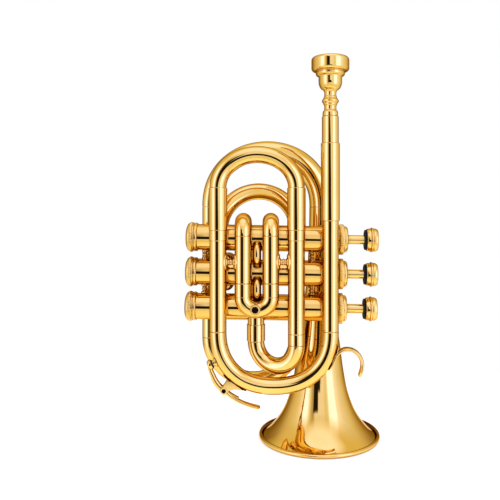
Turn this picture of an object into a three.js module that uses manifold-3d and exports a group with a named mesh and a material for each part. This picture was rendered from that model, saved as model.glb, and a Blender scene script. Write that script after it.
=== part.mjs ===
// A pocket trumpet that stands on its bell, in millimetres, +Z up.
// The valves lie along X with their buttons to +X, and the mouthpiece points up.
import * as THREE from "three";
import { mergeVertices } from "three/addons/utils/BufferGeometryUtils.js";
import Module from "manifold-3d";

const wasm = await Module();
wasm.setup();

// Driving dimensions, in millimetres

// Clearances: where pieces seat, where slides run, and where two tubes meet end to end;
// and the overrun of a cut
const seatGap = 0.3;
const slideGap = 0.3;
const seamGap = 0.1;
const cutOverrun = 2;
// The smallest edge that a cut may leave
const sliver = 0.005;

// The plain tubing: outer diameter, wall, and the larger diameters of sleeves and ferrules
const tubing = { diameter: 12.5, wall: 0.8, sleeveDiameter: 13.7, ferruleDiameter: 13.1 };
const boreRadius = tubing.diameter / 2 - tubing.wall;
const tubeRadius = tubing.diameter / 2;
const sleeveRadius = tubing.sleeveDiameter / 2;
const ferruleRadius = tubing.ferruleDiameter / 2;

// The three valves, measured along their own axis from the middle of the block
const valve = {
  pitch: 26.25,
  middleHeight: 135.1,
  tiltDegrees: 1,
  casingDiameter: 19.8,
  casingWall: 1.3,
  casingStart: -66.1,
  casingEnd: 46.5,
};
const casingRadius = valve.casingDiameter / 2;
const casingBore = casingRadius - valve.casingWall;

// The caps that close each casing: the knurled bottom cap and the stepped top cap
const bottomCap = { diameter: 22.9, length: 8.7, skirt: 2.6, skirtDiameter: 21.2, edge: 1.6, floor: 1.6 };
const topCap = {
  diameter: 23.2,
  length: 4.9,
  collarDiameter: 19.4,
  collarLength: 1.7,
  hole: 7.6,
  plate: 1.8,
};
const knurl = { count: 18, depth: 0.4 };

// The turned posts that hold the casings apart, near both ends of the middle one
const casingPost = { leftX: -54.9, rightX: 26.4, footDiameter: 5.2, footLength: 0.8, waistDiameter: 2.6 };
const casingPostBead = { diameter: 4.2, length: 1.8 };

// The moving valve: piston, stem, button and the felt under it
const piston = {
  gap: 0.35,
  length: 96.7,
  portDiameter: 9.4,
  portPitch: 15.5,
  portTurnDegrees: 60,
  skirtDepth: 4,
  skirtWall: 1.6,
};
const stem = { diameter: 6.8 };
const button = {
  diameter: 18.8,
  length: 8.4,
  rimDiameter: 15.6,
  dish: 0.7,
  felt: 1.4,
  feltDiameter: 14.6,
};
const stroke = 13;
const valveSpring = { diameter: 11.5, wire: 1.1, turns: 5 };

// The near loop: leadpipe, bottom bow, tuning sleeves and the tube down to the third valve
const nearDepth = -(casingRadius + ferruleRadius + seatGap);
const leadpipe = {
  x: 39.2,
  topHeight: 251.6,
  sleeveTop: 232,
  sleeveBottom: 175.2,
  receiverDiameter: 12.4,
  sleeveDiameter: 13.9,
  diameter: 12.3,
};
const bottomBow = { startHeight: 94.1, drop: 40.4, squareness: 2.25 };
const tuning = {
  leftX: -43.4,
  rightX: 14.3,
  sleeveTop: 199.2,
  sleeveBottom: 168.2,
  ferruleBottom: 160.6,
  rise: 24.3,
  legLength: 29,
};

// The small bow that leads up into the third valve
const entry = { x: -15.9, depth: -3, startHeight: 84.1, drop: 17.3, sleeveLength: 12.6 };

// The slide of the first valve, a U that hangs in front of the casings
const firstSlide = {
  leftX: -25.1,
  span: 20.5,
  diameter: 10.8,
  sleeveDiameter: 12.3,
  elbowHeight: 165,
  elbowDepth: -1,
  elbowRise: 9.7,
  sleeveEnd: 129.4,
  ferruleEnd: 119.1,
  bowRise: 9.6,
  legLength: 27,
};

// The slide of the third valve, the same U behind the casings, standing up
const thirdSlide = { elbowRise: 12, sleeveEnd: 146, ferruleEnd: 153, legLength: 20 };

// The slide of the second valve, a short U that points away behind the block
const secondSlide = {
  x: -38.6,
  span: 17,
  diameter: 9.4,
  sleeveDiameter: 10.9,
  sleeveLength: 11,
  ferruleLength: 3,
  bowRise: 8,
  legLength: 9,
};

// The far coil, from the first valve round to the bell
const coilDepth = casingRadius + tubeRadius + seatGap;
const coil = {
  archLeftX: -43.9,
  archRightX: 15.9,
  archDepth: 4,
  archStart: 167.4,
  archRise: 29.9,
  lowStart: 83.2,
  lowDrop: 33.8,
  upX: -52.6,
  highStart: 185.3,
  highRise: 44.4,
  squareness: 2.1,
};

// The bell, on its own axis, with a tail that leans a little towards the buttons
const bell = {
  x: 34.1,
  depth: 30.3,
  rimRadius: 48.7,
  beadRadius: 1.7,
  tailRadius: 9.8,
  height: coil.highStart,
  lean: 2,
  wall: 0.9,
};
// The flare's radius between tail and rim, as shares of rim radius, against shares of the height
const flareShares = [
  [0.006, 0.965], [0.03, 0.835], [0.066, 0.713], [0.105, 0.615], [0.15, 0.536], [0.21, 0.463],
  [0.3, 0.398], [0.39, 0.351], [0.48, 0.302], [0.62, 0.247], [0.78, 0.214],
];

// The mouthpiece, from the top down, as heights and diameters
const mouthpiece = {
  rimDiameter: 27.8,
  rimHeight: 10.2,
  ledgeDiameter: 21.6,
  ledgeHeight: 3.2,
  cupDiameter: 17.4,
  cupHeight: 11,
  neckDiameter: 8.9,
  neckHeight: 5.4,
  ballDiameter: 12.4,
  ballHeight: 5,
  waistDiameter: 8.8,
  waistHeight: 4,
  collarDiameter: 11.4,
  collarHeight: 4.6,
  shankDiameter: 10.2,
  shankEnd: 9.2,
  shankLength: 24,
  shankWall: 0.9,
  cupBore: 17.2,
  cupDepth: 12,
  throat: 4,
};

// The finger hook on the bottom bow, measured from the foot of the bow's right leg
const hook = {
  reach: 12.5,
  drop: 23.9,
  radius: 10.4,
  width: 7,
  thickness: 3,
  startDegrees: 170,
  endDegrees: -48,
  foot: 1.8,
  footStartShare: 0.8,
  footEndShare: 0.92,
};

// The water key under the bottom bow: pad, lever, saddle and pin. Its places are measured from
// the foot of the bow's left leg, inwards and down.
const waterKey = {
  pivotReach: 4.6,
  pivotDrop: 43.1,
  padShare: 0.15,
  kneeReach: -3,
  kneeDrop: 34.5,
  palmReach: 16.4,
  palmDrop: 51.5,
  touchReach: 29.9,
  touchDrop: 55.5,
  width: 5,
  thickness: 2.4,
  barrelDiameter: 4.6,
  pinDiameter: 2.2,
  pinLength: 9,
  lug: 1.2,
  lugFootShare: 0.27,
  footHalfShare: 0.035,
  nippleDiameter: 5,
  nippleHeight: 1.8,
  corkDiameter: 5.6,
  corkHeight: 1.6,
  cupDiameter: 7.4,
};

// The spool braces between the near tubes, and the posts behind the casings
const brace = { height: 144.8, flangeDiameter: 8.6, flangeShare: 0.16, waistDiameter: 4 };
const bellBrace = { diameter: 5 };

// The bowed links that tie the casings, seen between the first slide's legs
const casingLink = { drop: 11, span: 14, diameter: 5.4, rise: 13.4 };

// Facets
const roundFacets = 12;
const bowFacets = 8;
const bowSteps = 10;
const elbowSteps = 5;
const springFacets = 4;
const springStepsPerTurn = 6;
const bellFacets = 28;
const flareSteps = 9;

// Looks
const brass = { color: 0xe0ad4c, metalness: 1, roughness: 0.12 };
const knurledBrass = { color: 0xd6a040, metalness: 1, roughness: 0.3 };
const steel = { color: 0xb9b6ad, metalness: 1, roughness: 0.3 };
const felt = { color: 0x1d1a17, metalness: 0, roughness: 0.95 };
const cork = { color: 0x17120d, metalness: 0, roughness: 0.85 };

// Tools of the drawing board

// The lathe turns about Y, so this stands its axis along Z.
const upright = new THREE.Matrix4().makeRotationX(Math.PI / 2);
// This lays an upright piece along X.
const lying = new THREE.Matrix4().makeRotationY(Math.PI / 2);

function piece(name, geometry, look) {
  const mesh = new THREE.Mesh(geometry, new THREE.MeshStandardMaterial(look));
  mesh.name = name;
  return mesh;
}

// A closed outline of [radius, height] points turned about Z.
function turned(outline, facets = roundFacets) {
  const points = outline.map(([radius, height]) => new THREE.Vector2(radius, height));
  return solid(new THREE.LatheGeometry(points, facets).applyMatrix4(upright));
}

// A straight pipe from one height to another; a bore of zero makes a rod.
function pipe(radius, bore, bottom, top, facets = roundFacets) {
  return turned([[bore, bottom], [radius, bottom], [radius, top], [bore, top], [bore, bottom]], facets);
}

// A manifold solid of a geometry, whichever way its outline ran.
function solid(geometry) {
  const flat = geometry.index ? geometry.toNonIndexed() : geometry;
  const bare = new THREE.BufferGeometry().setAttribute("position", flat.getAttribute("position"));
  const merged = mergeVertices(bare);
  const triVerts = new Uint32Array(merged.index.array);
  const build = () =>
    new wasm.Manifold(
      new wasm.Mesh({ numProp: 3, vertProperties: merged.attributes.position.array, triVerts }),
    );
  const made = build();
  if (made.volume() > 0) return made;
  triVerts.reverse();
  return build();
}

function geometryOf(body) {
  const mesh = body.simplify(sliver).getMesh();
  const geometry = new THREE.BufferGeometry();
  geometry.setAttribute("position", new THREE.BufferAttribute(new Float32Array(mesh.vertProperties), 3));
  geometry.setIndex(new THREE.BufferAttribute(new Uint32Array(mesh.triVerts), 1));
  return geometry;
}

const moved = (body, x, y, z) => body.translate([x, y, z]);
const laid = (body) => solid(geometryOf(body).applyMatrix4(lying));

// A bow from one point to another with both legs upright; rise is how far its middle stands
// above the legs, and squareness is 2 for an ellipse and more for squarer shoulders.
class Bow extends THREE.Curve {
  constructor(from, to, rise, squareness = 2) {
    super();
    Object.assign(this, { from, to, rise, squareness });
  }
  getPoint(t, target = new THREE.Vector3()) {
    const angle = t * Math.PI;
    const power = 2 / this.squareness;
    const across = Math.sign(Math.cos(angle)) * Math.abs(Math.cos(angle)) ** power;
    target.lerpVectors(this.from, this.to, (1 - across) / 2);
    target.z += this.rise * Math.sin(angle) ** power;
    return target;
  }
  getTangent(t, target = new THREE.Vector3()) {
    if (t > 0 && t < 1) return super.getTangent(t, target);
    return target.set(0, 0, Math.sign(this.rise) * (t > 0 ? -1 : 1));
  }
}

// A quarter bend from level, along Y, to upright.
class Bend extends THREE.Curve {
  constructor(from, reach, rise) {
    super();
    Object.assign(this, { from, reach, rise });
  }
  getPoint(t, target = new THREE.Vector3()) {
    const angle = (t * Math.PI) / 2;
    const { x, y, z } = this.from;
    return target.set(x, y + this.reach * Math.sin(angle), z + this.rise * (1 - Math.cos(angle)));
  }
  getTangent(t, target = new THREE.Vector3()) {
    if (t > 0 && t < 1) return super.getTangent(t, target);
    return t > 0 ? target.set(0, 0, Math.sign(this.rise)) : target.set(0, Math.sign(this.reach), 0);
  }
}

// A hollow tube along a curve. Its radius grows from start to end, and its wall stays.
function tubeAlong(
  curve,
  startRadius,
  endRadius = startRadius,
  steps = bowSteps,
  facets = bowFacets,
  bore = startRadius - tubing.wall,
) {
  const section = new THREE.Shape().absarc(0, 0, startRadius, 0, 2 * Math.PI);
  section.holes.push(new THREE.Path().absarc(0, 0, bore, 0, 2 * Math.PI));
  const geometry = new THREE.ExtrudeGeometry(section, {
    extrudePath: curve,
    steps,
    curveSegments: facets / 2,
    bevelEnabled: false,
  });
  if (endRadius !== startRadius) widen(geometry, curve.getSpacedPoints(steps), startRadius, endRadius);
  return solid(geometry);
}

// Moves each ring of a swept tube outwards about its own centre.
function widen(geometry, centres, startRadius, endRadius) {
  const position = geometry.getAttribute("position");
  const point = new THREE.Vector3();
  for (let i = 0; i < position.count; i++) {
    point.fromBufferAttribute(position, i);
    const distances = centres.map((centre) => centre.distanceTo(point));
    const ring = distances.indexOf(Math.min(...distances));
    const growth = ((endRadius - startRadius) * ring) / (centres.length - 1);
    const offset = point.clone().sub(centres[ring]);
    point.copy(centres[ring]).addScaledVector(offset, (offset.length() + growth) / offset.length());
    position.setXYZ(i, point.x, point.y, point.z);
  }
}

// A flat outline in the XZ plane, as thick as width along Y about the given depth.
function plate(shape, width, depth, facets = bowFacets) {
  const options = { depth: width, bevelEnabled: false, curveSegments: facets / 2 };
  const geometry = new THREE.ExtrudeGeometry(shape, options);
  geometry.applyMatrix4(upright).translate(0, depth + width / 2, 0);
  return solid(geometry);
}

const at = (x, y, z) => new THREE.Vector3(x, y, z);
const radians = (degrees) => THREE.MathUtils.degToRad(degrees);
const half = (diameter) => diameter / 2;

// A solid rod along a curve, for cutting.
function rodAlong(curve, radius) {
  const section = new THREE.Shape().absarc(0, 0, radius, 0, 2 * Math.PI);
  const options = { extrudePath: curve, steps: bowSteps, curveSegments: bowFacets / 2, bevelEnabled: false };
  return solid(new THREE.ExtrudeGeometry(section, options));
}

// The largest body of a cut solid, without the slivers that the cut left.
function largest(body) {
  return body.decompose().sort((a, b) => b.volume() - a.volume())[0];
}

// The space that a casing and the gap round it take up, for cutting the tubes that meet it.
const valveHeights = [1, 0, -1].map((place) => place * valve.pitch);
const tilt = radians(valve.tiltDegrees);
const casingSpace = valveHeights.map((height) => {
  const rod = laid(pipe(casingRadius + seatGap, 0, valve.casingStart, valve.casingEnd, roundFacets));
  const placed = geometryOf(moved(rod, 0, 0, height));
  placed.applyMatrix4(new THREE.Matrix4().makeRotationY(tilt)).translate(0, 0, valve.middleHeight);
  return solid(placed);
});

// The valve block, along its own X axis

// A ring of teeth in cross-section, for the knurled rims.
function knurledDisc(diameter, start, end) {
  const shape = new THREE.Shape();
  for (let i = 0; i < 2 * knurl.count; i++) {
    const radius = diameter / 2 - (i % 2) * knurl.depth;
    const angle = (i * Math.PI) / knurl.count;
    const corner = [radius * Math.cos(angle), radius * Math.sin(angle)];
    if (i) shape.lineTo(...corner);
    else shape.moveTo(...corner);
  }
  shape.closePath();
  const geometry = new THREE.ExtrudeGeometry(shape, { depth: end - start, bevelEnabled: false });
  return solid(geometry.translate(0, 0, start));
}

function casing() {
  return laid(pipe(casingRadius, casingBore, valve.casingStart, valve.casingEnd));
}

// A turned post with a foot at both ends and a bead in the middle, between two casings.
function makeCasingPost() {
  const [root, end] = [casingBore + seatGap, valve.pitch - casingRadius - seatGap];
  const middle = valve.pitch / 2;
  const { footLength } = casingPost;
  const [foot, waist] = [casingPost.footDiameter / 2, casingPost.waistDiameter / 2];
  const [bead, reach] = [casingPostBead.diameter / 2, casingPostBead.length / 2];
  const outline = [
    [0, root],
    [foot, root],
    [foot, casingRadius + footLength],
    [waist, middle - reach],
    [bead, middle],
    [waist, middle + reach],
    [foot, end - footLength],
    [foot, end],
    [0, end],
  ];
  return turned(outline, bowFacets);
}

// The middle casing carries the posts to the other two.
function makeMiddleCasing() {
  const up = makeCasingPost();
  const posts = [casingPost.leftX, casingPost.rightX].flatMap((x) =>
    [up, up.mirror([0, 0, 1])].map((post) => moved(post, x, 0, 0)),
  );
  return posts.reduce((left, post) => left.add(post), casing());
}

// The bottom cap is a cup over the casing's end, knurled on its rim.
function makeBottomCap() {
  const end = valve.casingStart - bottomCap.floor;
  const outer = end - bottomCap.edge;
  const radius = bottomCap.diameter / 2;
  const mouth = outer + bottomCap.length;
  const neck = mouth - bottomCap.skirt;
  const cup = turned([
    [0, outer],
    [radius - bottomCap.edge, outer],
    [radius - knurl.depth, end],
    [radius - knurl.depth, neck],
    [bottomCap.skirtDiameter / 2, neck],
    [bottomCap.skirtDiameter / 2, mouth],
    [casingRadius + seatGap, mouth],
    [casingRadius + seatGap, valve.casingStart],
    [0, valve.casingStart],
  ]);
  const teeth = knurledDisc(bottomCap.diameter, end, neck);
  const hollow = pipe(casingRadius + seatGap, 0, valve.casingStart, mouth);
  return laid(cup.add(teeth).subtract(hollow));
}

// The top cap is a stepped ring on the casing's end, with a hole for the stem.
function makeTopCap() {
  const start = valve.casingEnd;
  const step = start + topCap.length;
  const end = step + topCap.collarLength;
  const hole = topCap.hole / 2;
  const ring = turned([
    [hole, start],
    [topCap.diameter / 2 - knurl.depth, start],
    [topCap.diameter / 2 - knurl.depth, step],
    [topCap.collarDiameter / 2, step],
    [topCap.collarDiameter / 2, end],
    [hole, end],
    [hole, start],
  ]);
  const teeth = knurledDisc(topCap.diameter, start, step - topCap.plate);
  const passage = pipe(hole, 0, start - cutOverrun, end + cutOverrun);
  return laid(ring.add(teeth).subtract(passage));
}

// Piston and stem are one sliding piece: three cross ports and a skirt that holds the spring.
const capEnd = valve.casingEnd + topCap.length + topCap.collarLength;
const pistonTop = valve.casingEnd - seatGap;
const pistonBottom = pistonTop - piston.length;
const pistonRadius = casingBore - piston.gap;

function makePiston() {
  const skirtRadius = pistonRadius - piston.skirtWall;
  const body = turned([
    [0, pistonBottom + piston.skirtDepth],
    [skirtRadius, pistonBottom + piston.skirtDepth],
    [skirtRadius, pistonBottom],
    [pistonRadius, pistonBottom],
    [pistonRadius, pistonTop],
    [stem.diameter / 2, pistonTop],
    [stem.diameter / 2, capEnd + stroke + button.felt],
    [0, capEnd + stroke + button.felt],
  ]);
  const reach = pistonRadius + cutOverrun;
  const drill = pipe(piston.portDiameter / 2, 0, -reach, reach, bowFacets);
  const first = pistonBottom + piston.skirtDepth + piston.portDiameter;
  const ports = [0, 1, 2].map((i) => {
    const turnedDrill = drill.rotate([(i + 1 / 2) * piston.portTurnDegrees, 0, 0]);
    return moved(turnedDrill, first + i * piston.portPitch, 0, 0);
  });
  return ports.reduce((left, port) => left.subtract(port), laid(body));
}

// The button is a dished disc with a rounded rim, screwed on the stem.
function makeButton() {
  const start = capEnd + stroke + button.felt + seatGap;
  const end = start + button.length;
  const [rim, waist] = [button.diameter / 2, button.rimDiameter / 2];
  const shoulder = (rim - waist) / 2;
  return laid(
    turned([
      [0, start],
      [waist - shoulder, start],
      [waist, start + shoulder],
      [rim - shoulder, start + shoulder],
      [rim, start + 2 * shoulder],
      [rim, end - 3 * shoulder],
      [rim - shoulder, end - 2 * shoulder],
      [waist, end - shoulder],
      [waist - shoulder, end],
      [waist - 2 * shoulder, end - button.dish],
      [0, end - button.dish],
    ]),
  );
}

function makeButtonFelt() {
  const start = capEnd + stroke;
  const bore = stem.diameter / 2 + seatGap;
  return laid(pipe(button.feltDiameter / 2, bore, start, start + button.felt));
}

// The return spring stands between the cap's floor and the piston's skirt.
class Helix extends THREE.Curve {
  constructor(radius, start, end, turns) {
    super();
    Object.assign(this, { radius, start, end, turns });
  }
  getPoint(t, target = new THREE.Vector3()) {
    const angle = t * this.turns * 2 * Math.PI;
    return target.set(
      THREE.MathUtils.lerp(this.start, this.end, t),
      this.radius * Math.cos(angle),
      this.radius * Math.sin(angle),
    );
  }
}

function makeValveSpring() {
  const wire = valveSpring.wire / 2;
  const start = valve.casingStart + wire + seatGap;
  const end = pistonBottom + piston.skirtDepth - wire - seatGap;
  const path = new Helix(valveSpring.diameter / 2, start, end, valveSpring.turns);
  const section = new THREE.Shape().absarc(0, 0, wire, 0, 2 * Math.PI);
  const options = {
    extrudePath: path,
    steps: springStepsPerTurn * valveSpring.turns,
    curveSegments: springFacets / 2,
    bevelEnabled: false,
  };
  return solid(new THREE.ExtrudeGeometry(section, options));
}

const valveBlock = new THREE.Group();
valveBlock.position.z = valve.middleHeight;
valveBlock.rotation.y = tilt;
valveHeights.forEach((height, i) => {
  const number = i + 1;
  const row = new THREE.Group();
  row.position.z = height;
  row.add(
    piece("valve_casing_" + number, geometryOf(height ? casing() : makeMiddleCasing()), brass),
    piece("bottom_cap_" + number, geometryOf(makeBottomCap()), knurledBrass),
    piece("top_cap_" + number, geometryOf(makeTopCap()), knurledBrass),
    piece("piston_" + number, geometryOf(makePiston()), steel),
    piece("valve_spring_" + number, geometryOf(makeValveSpring()), steel),
    piece("button_felt_" + number, geometryOf(makeButtonFelt()), felt),
    piece("finger_button_" + number, geometryOf(makeButton()), brass),
  );
  valveBlock.add(row);
});

const trumpet = new THREE.Group();
trumpet.add(valveBlock);
const add = (name, body, look = brass) => trumpet.add(piece(name, geometryOf(body), look));

// Cuts a tube to the casings that it is soldered to.
const fitted = (body, ...places) => places.reduce((left, place) => left.subtract(casingSpace[place]), body);

// The near loop

// The mouthpiece receiver stands on the leadpipe's sleeve.
const leadBore = leadpipe.diameter / 2 - tubing.wall;
const receiverBore = half(mouthpiece.shankDiameter) + seatGap;
for (const [name, diameter, bore, bottom, top] of [
  ["mouthpiece_receiver", leadpipe.receiverDiameter, receiverBore, leadpipe.sleeveTop, leadpipe.topHeight],
  ["leadpipe_sleeve", leadpipe.sleeveDiameter, leadBore, leadpipe.sleeveBottom, leadpipe.sleeveTop],
  ["leadpipe", leadpipe.diameter, leadBore, bottomBow.startHeight, leadpipe.sleeveBottom],
]) {
  add(name, moved(pipe(half(diameter), bore, bottom, top), leadpipe.x, nearDepth, 0));
}
const bottomPath = new Bow(
  at(tuning.leftX, nearDepth, bottomBow.startHeight - seamGap),
  at(leadpipe.x, nearDepth, bottomBow.startHeight - seamGap),
  -bottomBow.drop,
  bottomBow.squareness,
);
add("bottom_bow", tubeAlong(bottomPath, tubeRadius));

// Each leg of the tuning slide runs in a sleeve on a ferrule on its tube.
const legs = { left: tuning.leftX, right: tuning.rightX };
const legFoot = { left: bottomBow.startHeight, right: entry.startHeight };
for (const [side, x] of Object.entries(legs)) {
  const sleeve = turned([
    [boreRadius, tuning.ferruleBottom],
    [ferruleRadius, tuning.ferruleBottom],
    [ferruleRadius, tuning.sleeveBottom],
    [sleeveRadius, tuning.sleeveBottom],
    [sleeveRadius, tuning.sleeveTop],
    [tubeRadius + slideGap, tuning.sleeveTop],
    [tubeRadius + slideGap, tuning.sleeveBottom + tubing.wall],
    [boreRadius, tuning.sleeveBottom + tubing.wall],
    [boreRadius, tuning.ferruleBottom],
  ]);
  add("tuning_sleeve_" + side, moved(sleeve, x, nearDepth, 0));
  const tube = pipe(tubeRadius, boreRadius, legFoot[side], tuning.ferruleBottom);
  add("near_tube_" + side, moved(tube, x, nearDepth, 0));
}

// A slide is a bow on two collars, with two legs that run in the sleeves.
function slideOf(path, radius, collarRadius, collarEnd, legEnd) {
  const bore = radius - tubing.wall;
  const bowEnd = path.getPoint(0).z;
  const run = (outer, from, to) => pipe(outer, bore, Math.min(from, to), Math.max(from, to), bowFacets);
  const sides = [path.getPoint(0), path.getPoint(1)].map(({ x, y }) => {
    const leg = run(radius, collarEnd, legEnd);
    return moved(collarEnd === bowEnd ? leg : leg.add(run(collarRadius, bowEnd, collarEnd)), x, y, 0);
  });
  return tubeAlong(path, collarRadius, collarRadius, bowSteps, bowFacets, bore).add(sides[0]).add(sides[1]);
}
const tuningPath = new Bow(
  at(tuning.leftX, nearDepth, tuning.sleeveTop + seatGap),
  at(tuning.rightX, nearDepth, tuning.sleeveTop + seatGap),
  tuning.rise,
);
const tuningLeg = tuning.sleeveTop - tuning.legLength;
add("tuning_slide", slideOf(tuningPath, tubeRadius, tubeRadius, tuning.sleeveTop + seatGap, tuningLeg));

// The small bow turns up under the third valve.
const entryPath = new Bow(
  at(tuning.rightX, nearDepth, entry.startHeight - seamGap),
  at(entry.x, entry.depth, entry.startHeight - seamGap),
  -entry.drop,
);
add("entry_bow", tubeAlong(entryPath, tubeRadius));
const [firstHeight, secondHeight, thirdHeight] = valveHeights.map((height) => valve.middleHeight + height);
const entrySleeve = pipe(sleeveRadius, boreRadius, entry.startHeight, entry.startHeight + entry.sleeveLength);
const entryTube = pipe(tubeRadius, boreRadius, entry.startHeight, thirdHeight);
add("entry_sleeve", fitted(moved(entrySleeve.add(entryTube), entry.x, entry.depth, 0), 2));

// The valve slides

const innerRadius = firstSlide.diameter / 2;
const outerRadius = firstSlide.sleeveDiameter / 2;
const sleeveBore = innerRadius + slideGap;
const firstDepth = -(casingRadius + outerRadius + seatGap);
const slideXs = { left: firstSlide.leftX, right: firstSlide.leftX + firstSlide.span };

// The first slide's knuckles go over the top of the first casing and down into it.
for (const [side, x] of Object.entries(slideXs)) {
  const over = new Bow(
    at(x, firstDepth, firstSlide.elbowHeight),
    at(x, firstSlide.elbowDepth, firstSlide.elbowHeight),
    firstSlide.elbowRise,
  );
  const knuckle = tubeAlong(over, outerRadius, outerRadius, elbowSteps, bowFacets, sleeveBore);
  const sleeve = pipe(outerRadius, sleeveBore, firstSlide.sleeveEnd, firstSlide.elbowHeight, bowFacets);
  add("first_sleeve_" + side, fitted(knuckle.add(moved(sleeve, x, firstDepth, 0)), 0));
}
const firstPath = new Bow(
  at(slideXs.left, firstDepth, firstSlide.ferruleEnd),
  at(slideXs.right, firstDepth, firstSlide.ferruleEnd),
  -firstSlide.bowRise,
);
const firstCollar = firstSlide.sleeveEnd - seatGap;
const firstLeg = firstSlide.sleeveEnd + firstSlide.legLength;
add("first_slide", slideOf(firstPath, innerRadius, outerRadius, firstCollar, firstLeg));

// The third slide's knuckles leave the back of the third casing and turn up.
const thirdDepth = -firstDepth;
for (const [side, x] of Object.entries(slideXs)) {
  const bend = new Bend(at(x, 0, thirdHeight), thirdDepth, thirdSlide.elbowRise);
  const knuckle = tubeAlong(bend, outerRadius, outerRadius, elbowSteps, bowFacets, sleeveBore);
  const sleeve = pipe(
    outerRadius,
    sleeveBore,
    thirdHeight + thirdSlide.elbowRise,
    thirdSlide.sleeveEnd,
    bowFacets,
  );
  add("third_sleeve_" + side, fitted(knuckle.add(moved(sleeve, x, thirdDepth, 0)), 2));
}
const thirdPath = new Bow(
  at(slideXs.left, thirdDepth, thirdSlide.ferruleEnd),
  at(slideXs.right, thirdDepth, thirdSlide.ferruleEnd),
  firstSlide.bowRise,
);
const thirdCollar = thirdSlide.sleeveEnd + seatGap;
const thirdLeg = thirdSlide.sleeveEnd - thirdSlide.legLength;
add("third_slide", slideOf(thirdPath, innerRadius, outerRadius, thirdCollar, thirdLeg));

// The second slide is drawn upright and laid away from the player's fingers, along Y.
const shortInner = secondSlide.diameter / 2;
const shortOuter = secondSlide.sleeveDiameter / 2;
const laidBack = (body) => moved(body.rotate([-90, 0, 0]), secondSlide.x, 0, secondHeight);
const shortSleeveEnd = casingRadius + secondSlide.sleeveLength;
const shortSides = { upper: -secondSlide.span / 2, lower: secondSlide.span / 2 };
for (const [side, y] of Object.entries(shortSides)) {
  const sleeve = laidBack(moved(pipe(shortOuter, shortInner + slideGap, 0, shortSleeveEnd), 0, y, 0));
  add("second_sleeve_" + side, fitted(sleeve, 0, 1, 2));
}
const shortCollar = shortSleeveEnd + seatGap;
const shortBowStart = shortCollar + secondSlide.ferruleLength;
const secondPath = new Bow(
  at(0, shortSides.upper, shortBowStart),
  at(0, shortSides.lower, shortBowStart),
  secondSlide.bowRise,
);
const shortLeg = shortSleeveEnd - secondSlide.legLength;
add("second_slide", laidBack(slideOf(secondPath, shortInner, shortOuter, shortCollar, shortLeg)));

// The far coil: out of the first valve, over, down, under and up, and round to the bell

const archPath = new Bow(
  at(coil.archRightX, coilDepth, coil.archStart + seamGap),
  at(coil.archLeftX, coil.archDepth, coil.archStart + seamGap),
  coil.archRise,
);
add("coil_arch", fitted(tubeAlong(archPath, tubeRadius), 0));
add(
  "coil_down_tube",
  moved(pipe(tubeRadius, boreRadius, coil.lowStart, coil.archStart), coil.archRightX, coilDepth, 0),
);
const lowPath = new Bow(
  at(coil.archRightX, coilDepth, coil.lowStart - seamGap),
  at(coil.upX, coilDepth, coil.lowStart - seamGap),
  -coil.lowDrop,
);
add("coil_low_bow", tubeAlong(lowPath, tubeRadius));
add(
  "coil_up_tube",
  moved(pipe(tubeRadius, boreRadius, coil.lowStart, coil.highStart), coil.upX, coilDepth, 0),
);
const highPath = new Bow(
  at(coil.upX, coilDepth, coil.highStart + seamGap),
  at(bell.x + bell.lean, bell.depth, coil.highStart + seamGap),
  coil.highRise,
  coil.squareness,
);
add("bell_bow", tubeAlong(highPath, tubeRadius, bell.tailRadius));

// The bell is turned from the outline of its flare and the same outline one wall inwards.
const flare = new THREE.SplineCurve([
  new THREE.Vector2(bell.rimRadius - bell.beadRadius, bell.beadRadius),
  ...flareShares.map(([up, out]) => new THREE.Vector2(out * bell.rimRadius, up * bell.height)),
  new THREE.Vector2(bell.tailRadius, bell.height),
]);
const leanAt = (height) => bell.lean * THREE.MathUtils.smoothstep(height, bell.height / 3, bell.height);

function makeBell() {
  const outer = flare.getSpacedPoints(flareSteps);
  const inner = outer.map((point, i) => {
    const tangent = flare.getTangentAt(i / flareSteps);
    return [point.x - bell.wall * tangent.y, Math.min(point.y + bell.wall * tangent.x, bell.height)];
  });
  inner[flareSteps] = [bell.tailRadius - bell.wall, bell.height];
  const bead = [-90, -45, 0, 45, 90].map((degrees) => {
    const angle = radians(degrees);
    const middle = bell.rimRadius - bell.beadRadius;
    return [middle + bell.beadRadius * Math.cos(angle), bell.beadRadius * (1 + Math.sin(angle))];
  });
  const foot = [bell.rimRadius - 2 * bell.beadRadius, 0];
  const outline = [...outer.slice(1).reverse().map((point) => [point.x, point.y]), ...bead.reverse(), foot];
  const geometry = geometryOf(turned([...outline, ...inner.slice(1), outline[0]], bellFacets));
  const position = geometry.getAttribute("position");
  for (let i = 0; i < position.count; i++) {
    position.setX(i, position.getX(i) + leanAt(position.getZ(i)));
  }
  return moved(solid(geometry), bell.x, bell.depth, 0);
}
add("bell", makeBell());

// The bell's outer radius at a height, the widest of its outline from there to the overrun below.
function bellRadiusAt(height) {
  const points = flare.getSpacedPoints(flareSteps * flareSteps);
  const near = points.filter((point) => point.y >= height - cutOverrun);
  return Math.max(...near.map((point) => point.x));
}

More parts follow.
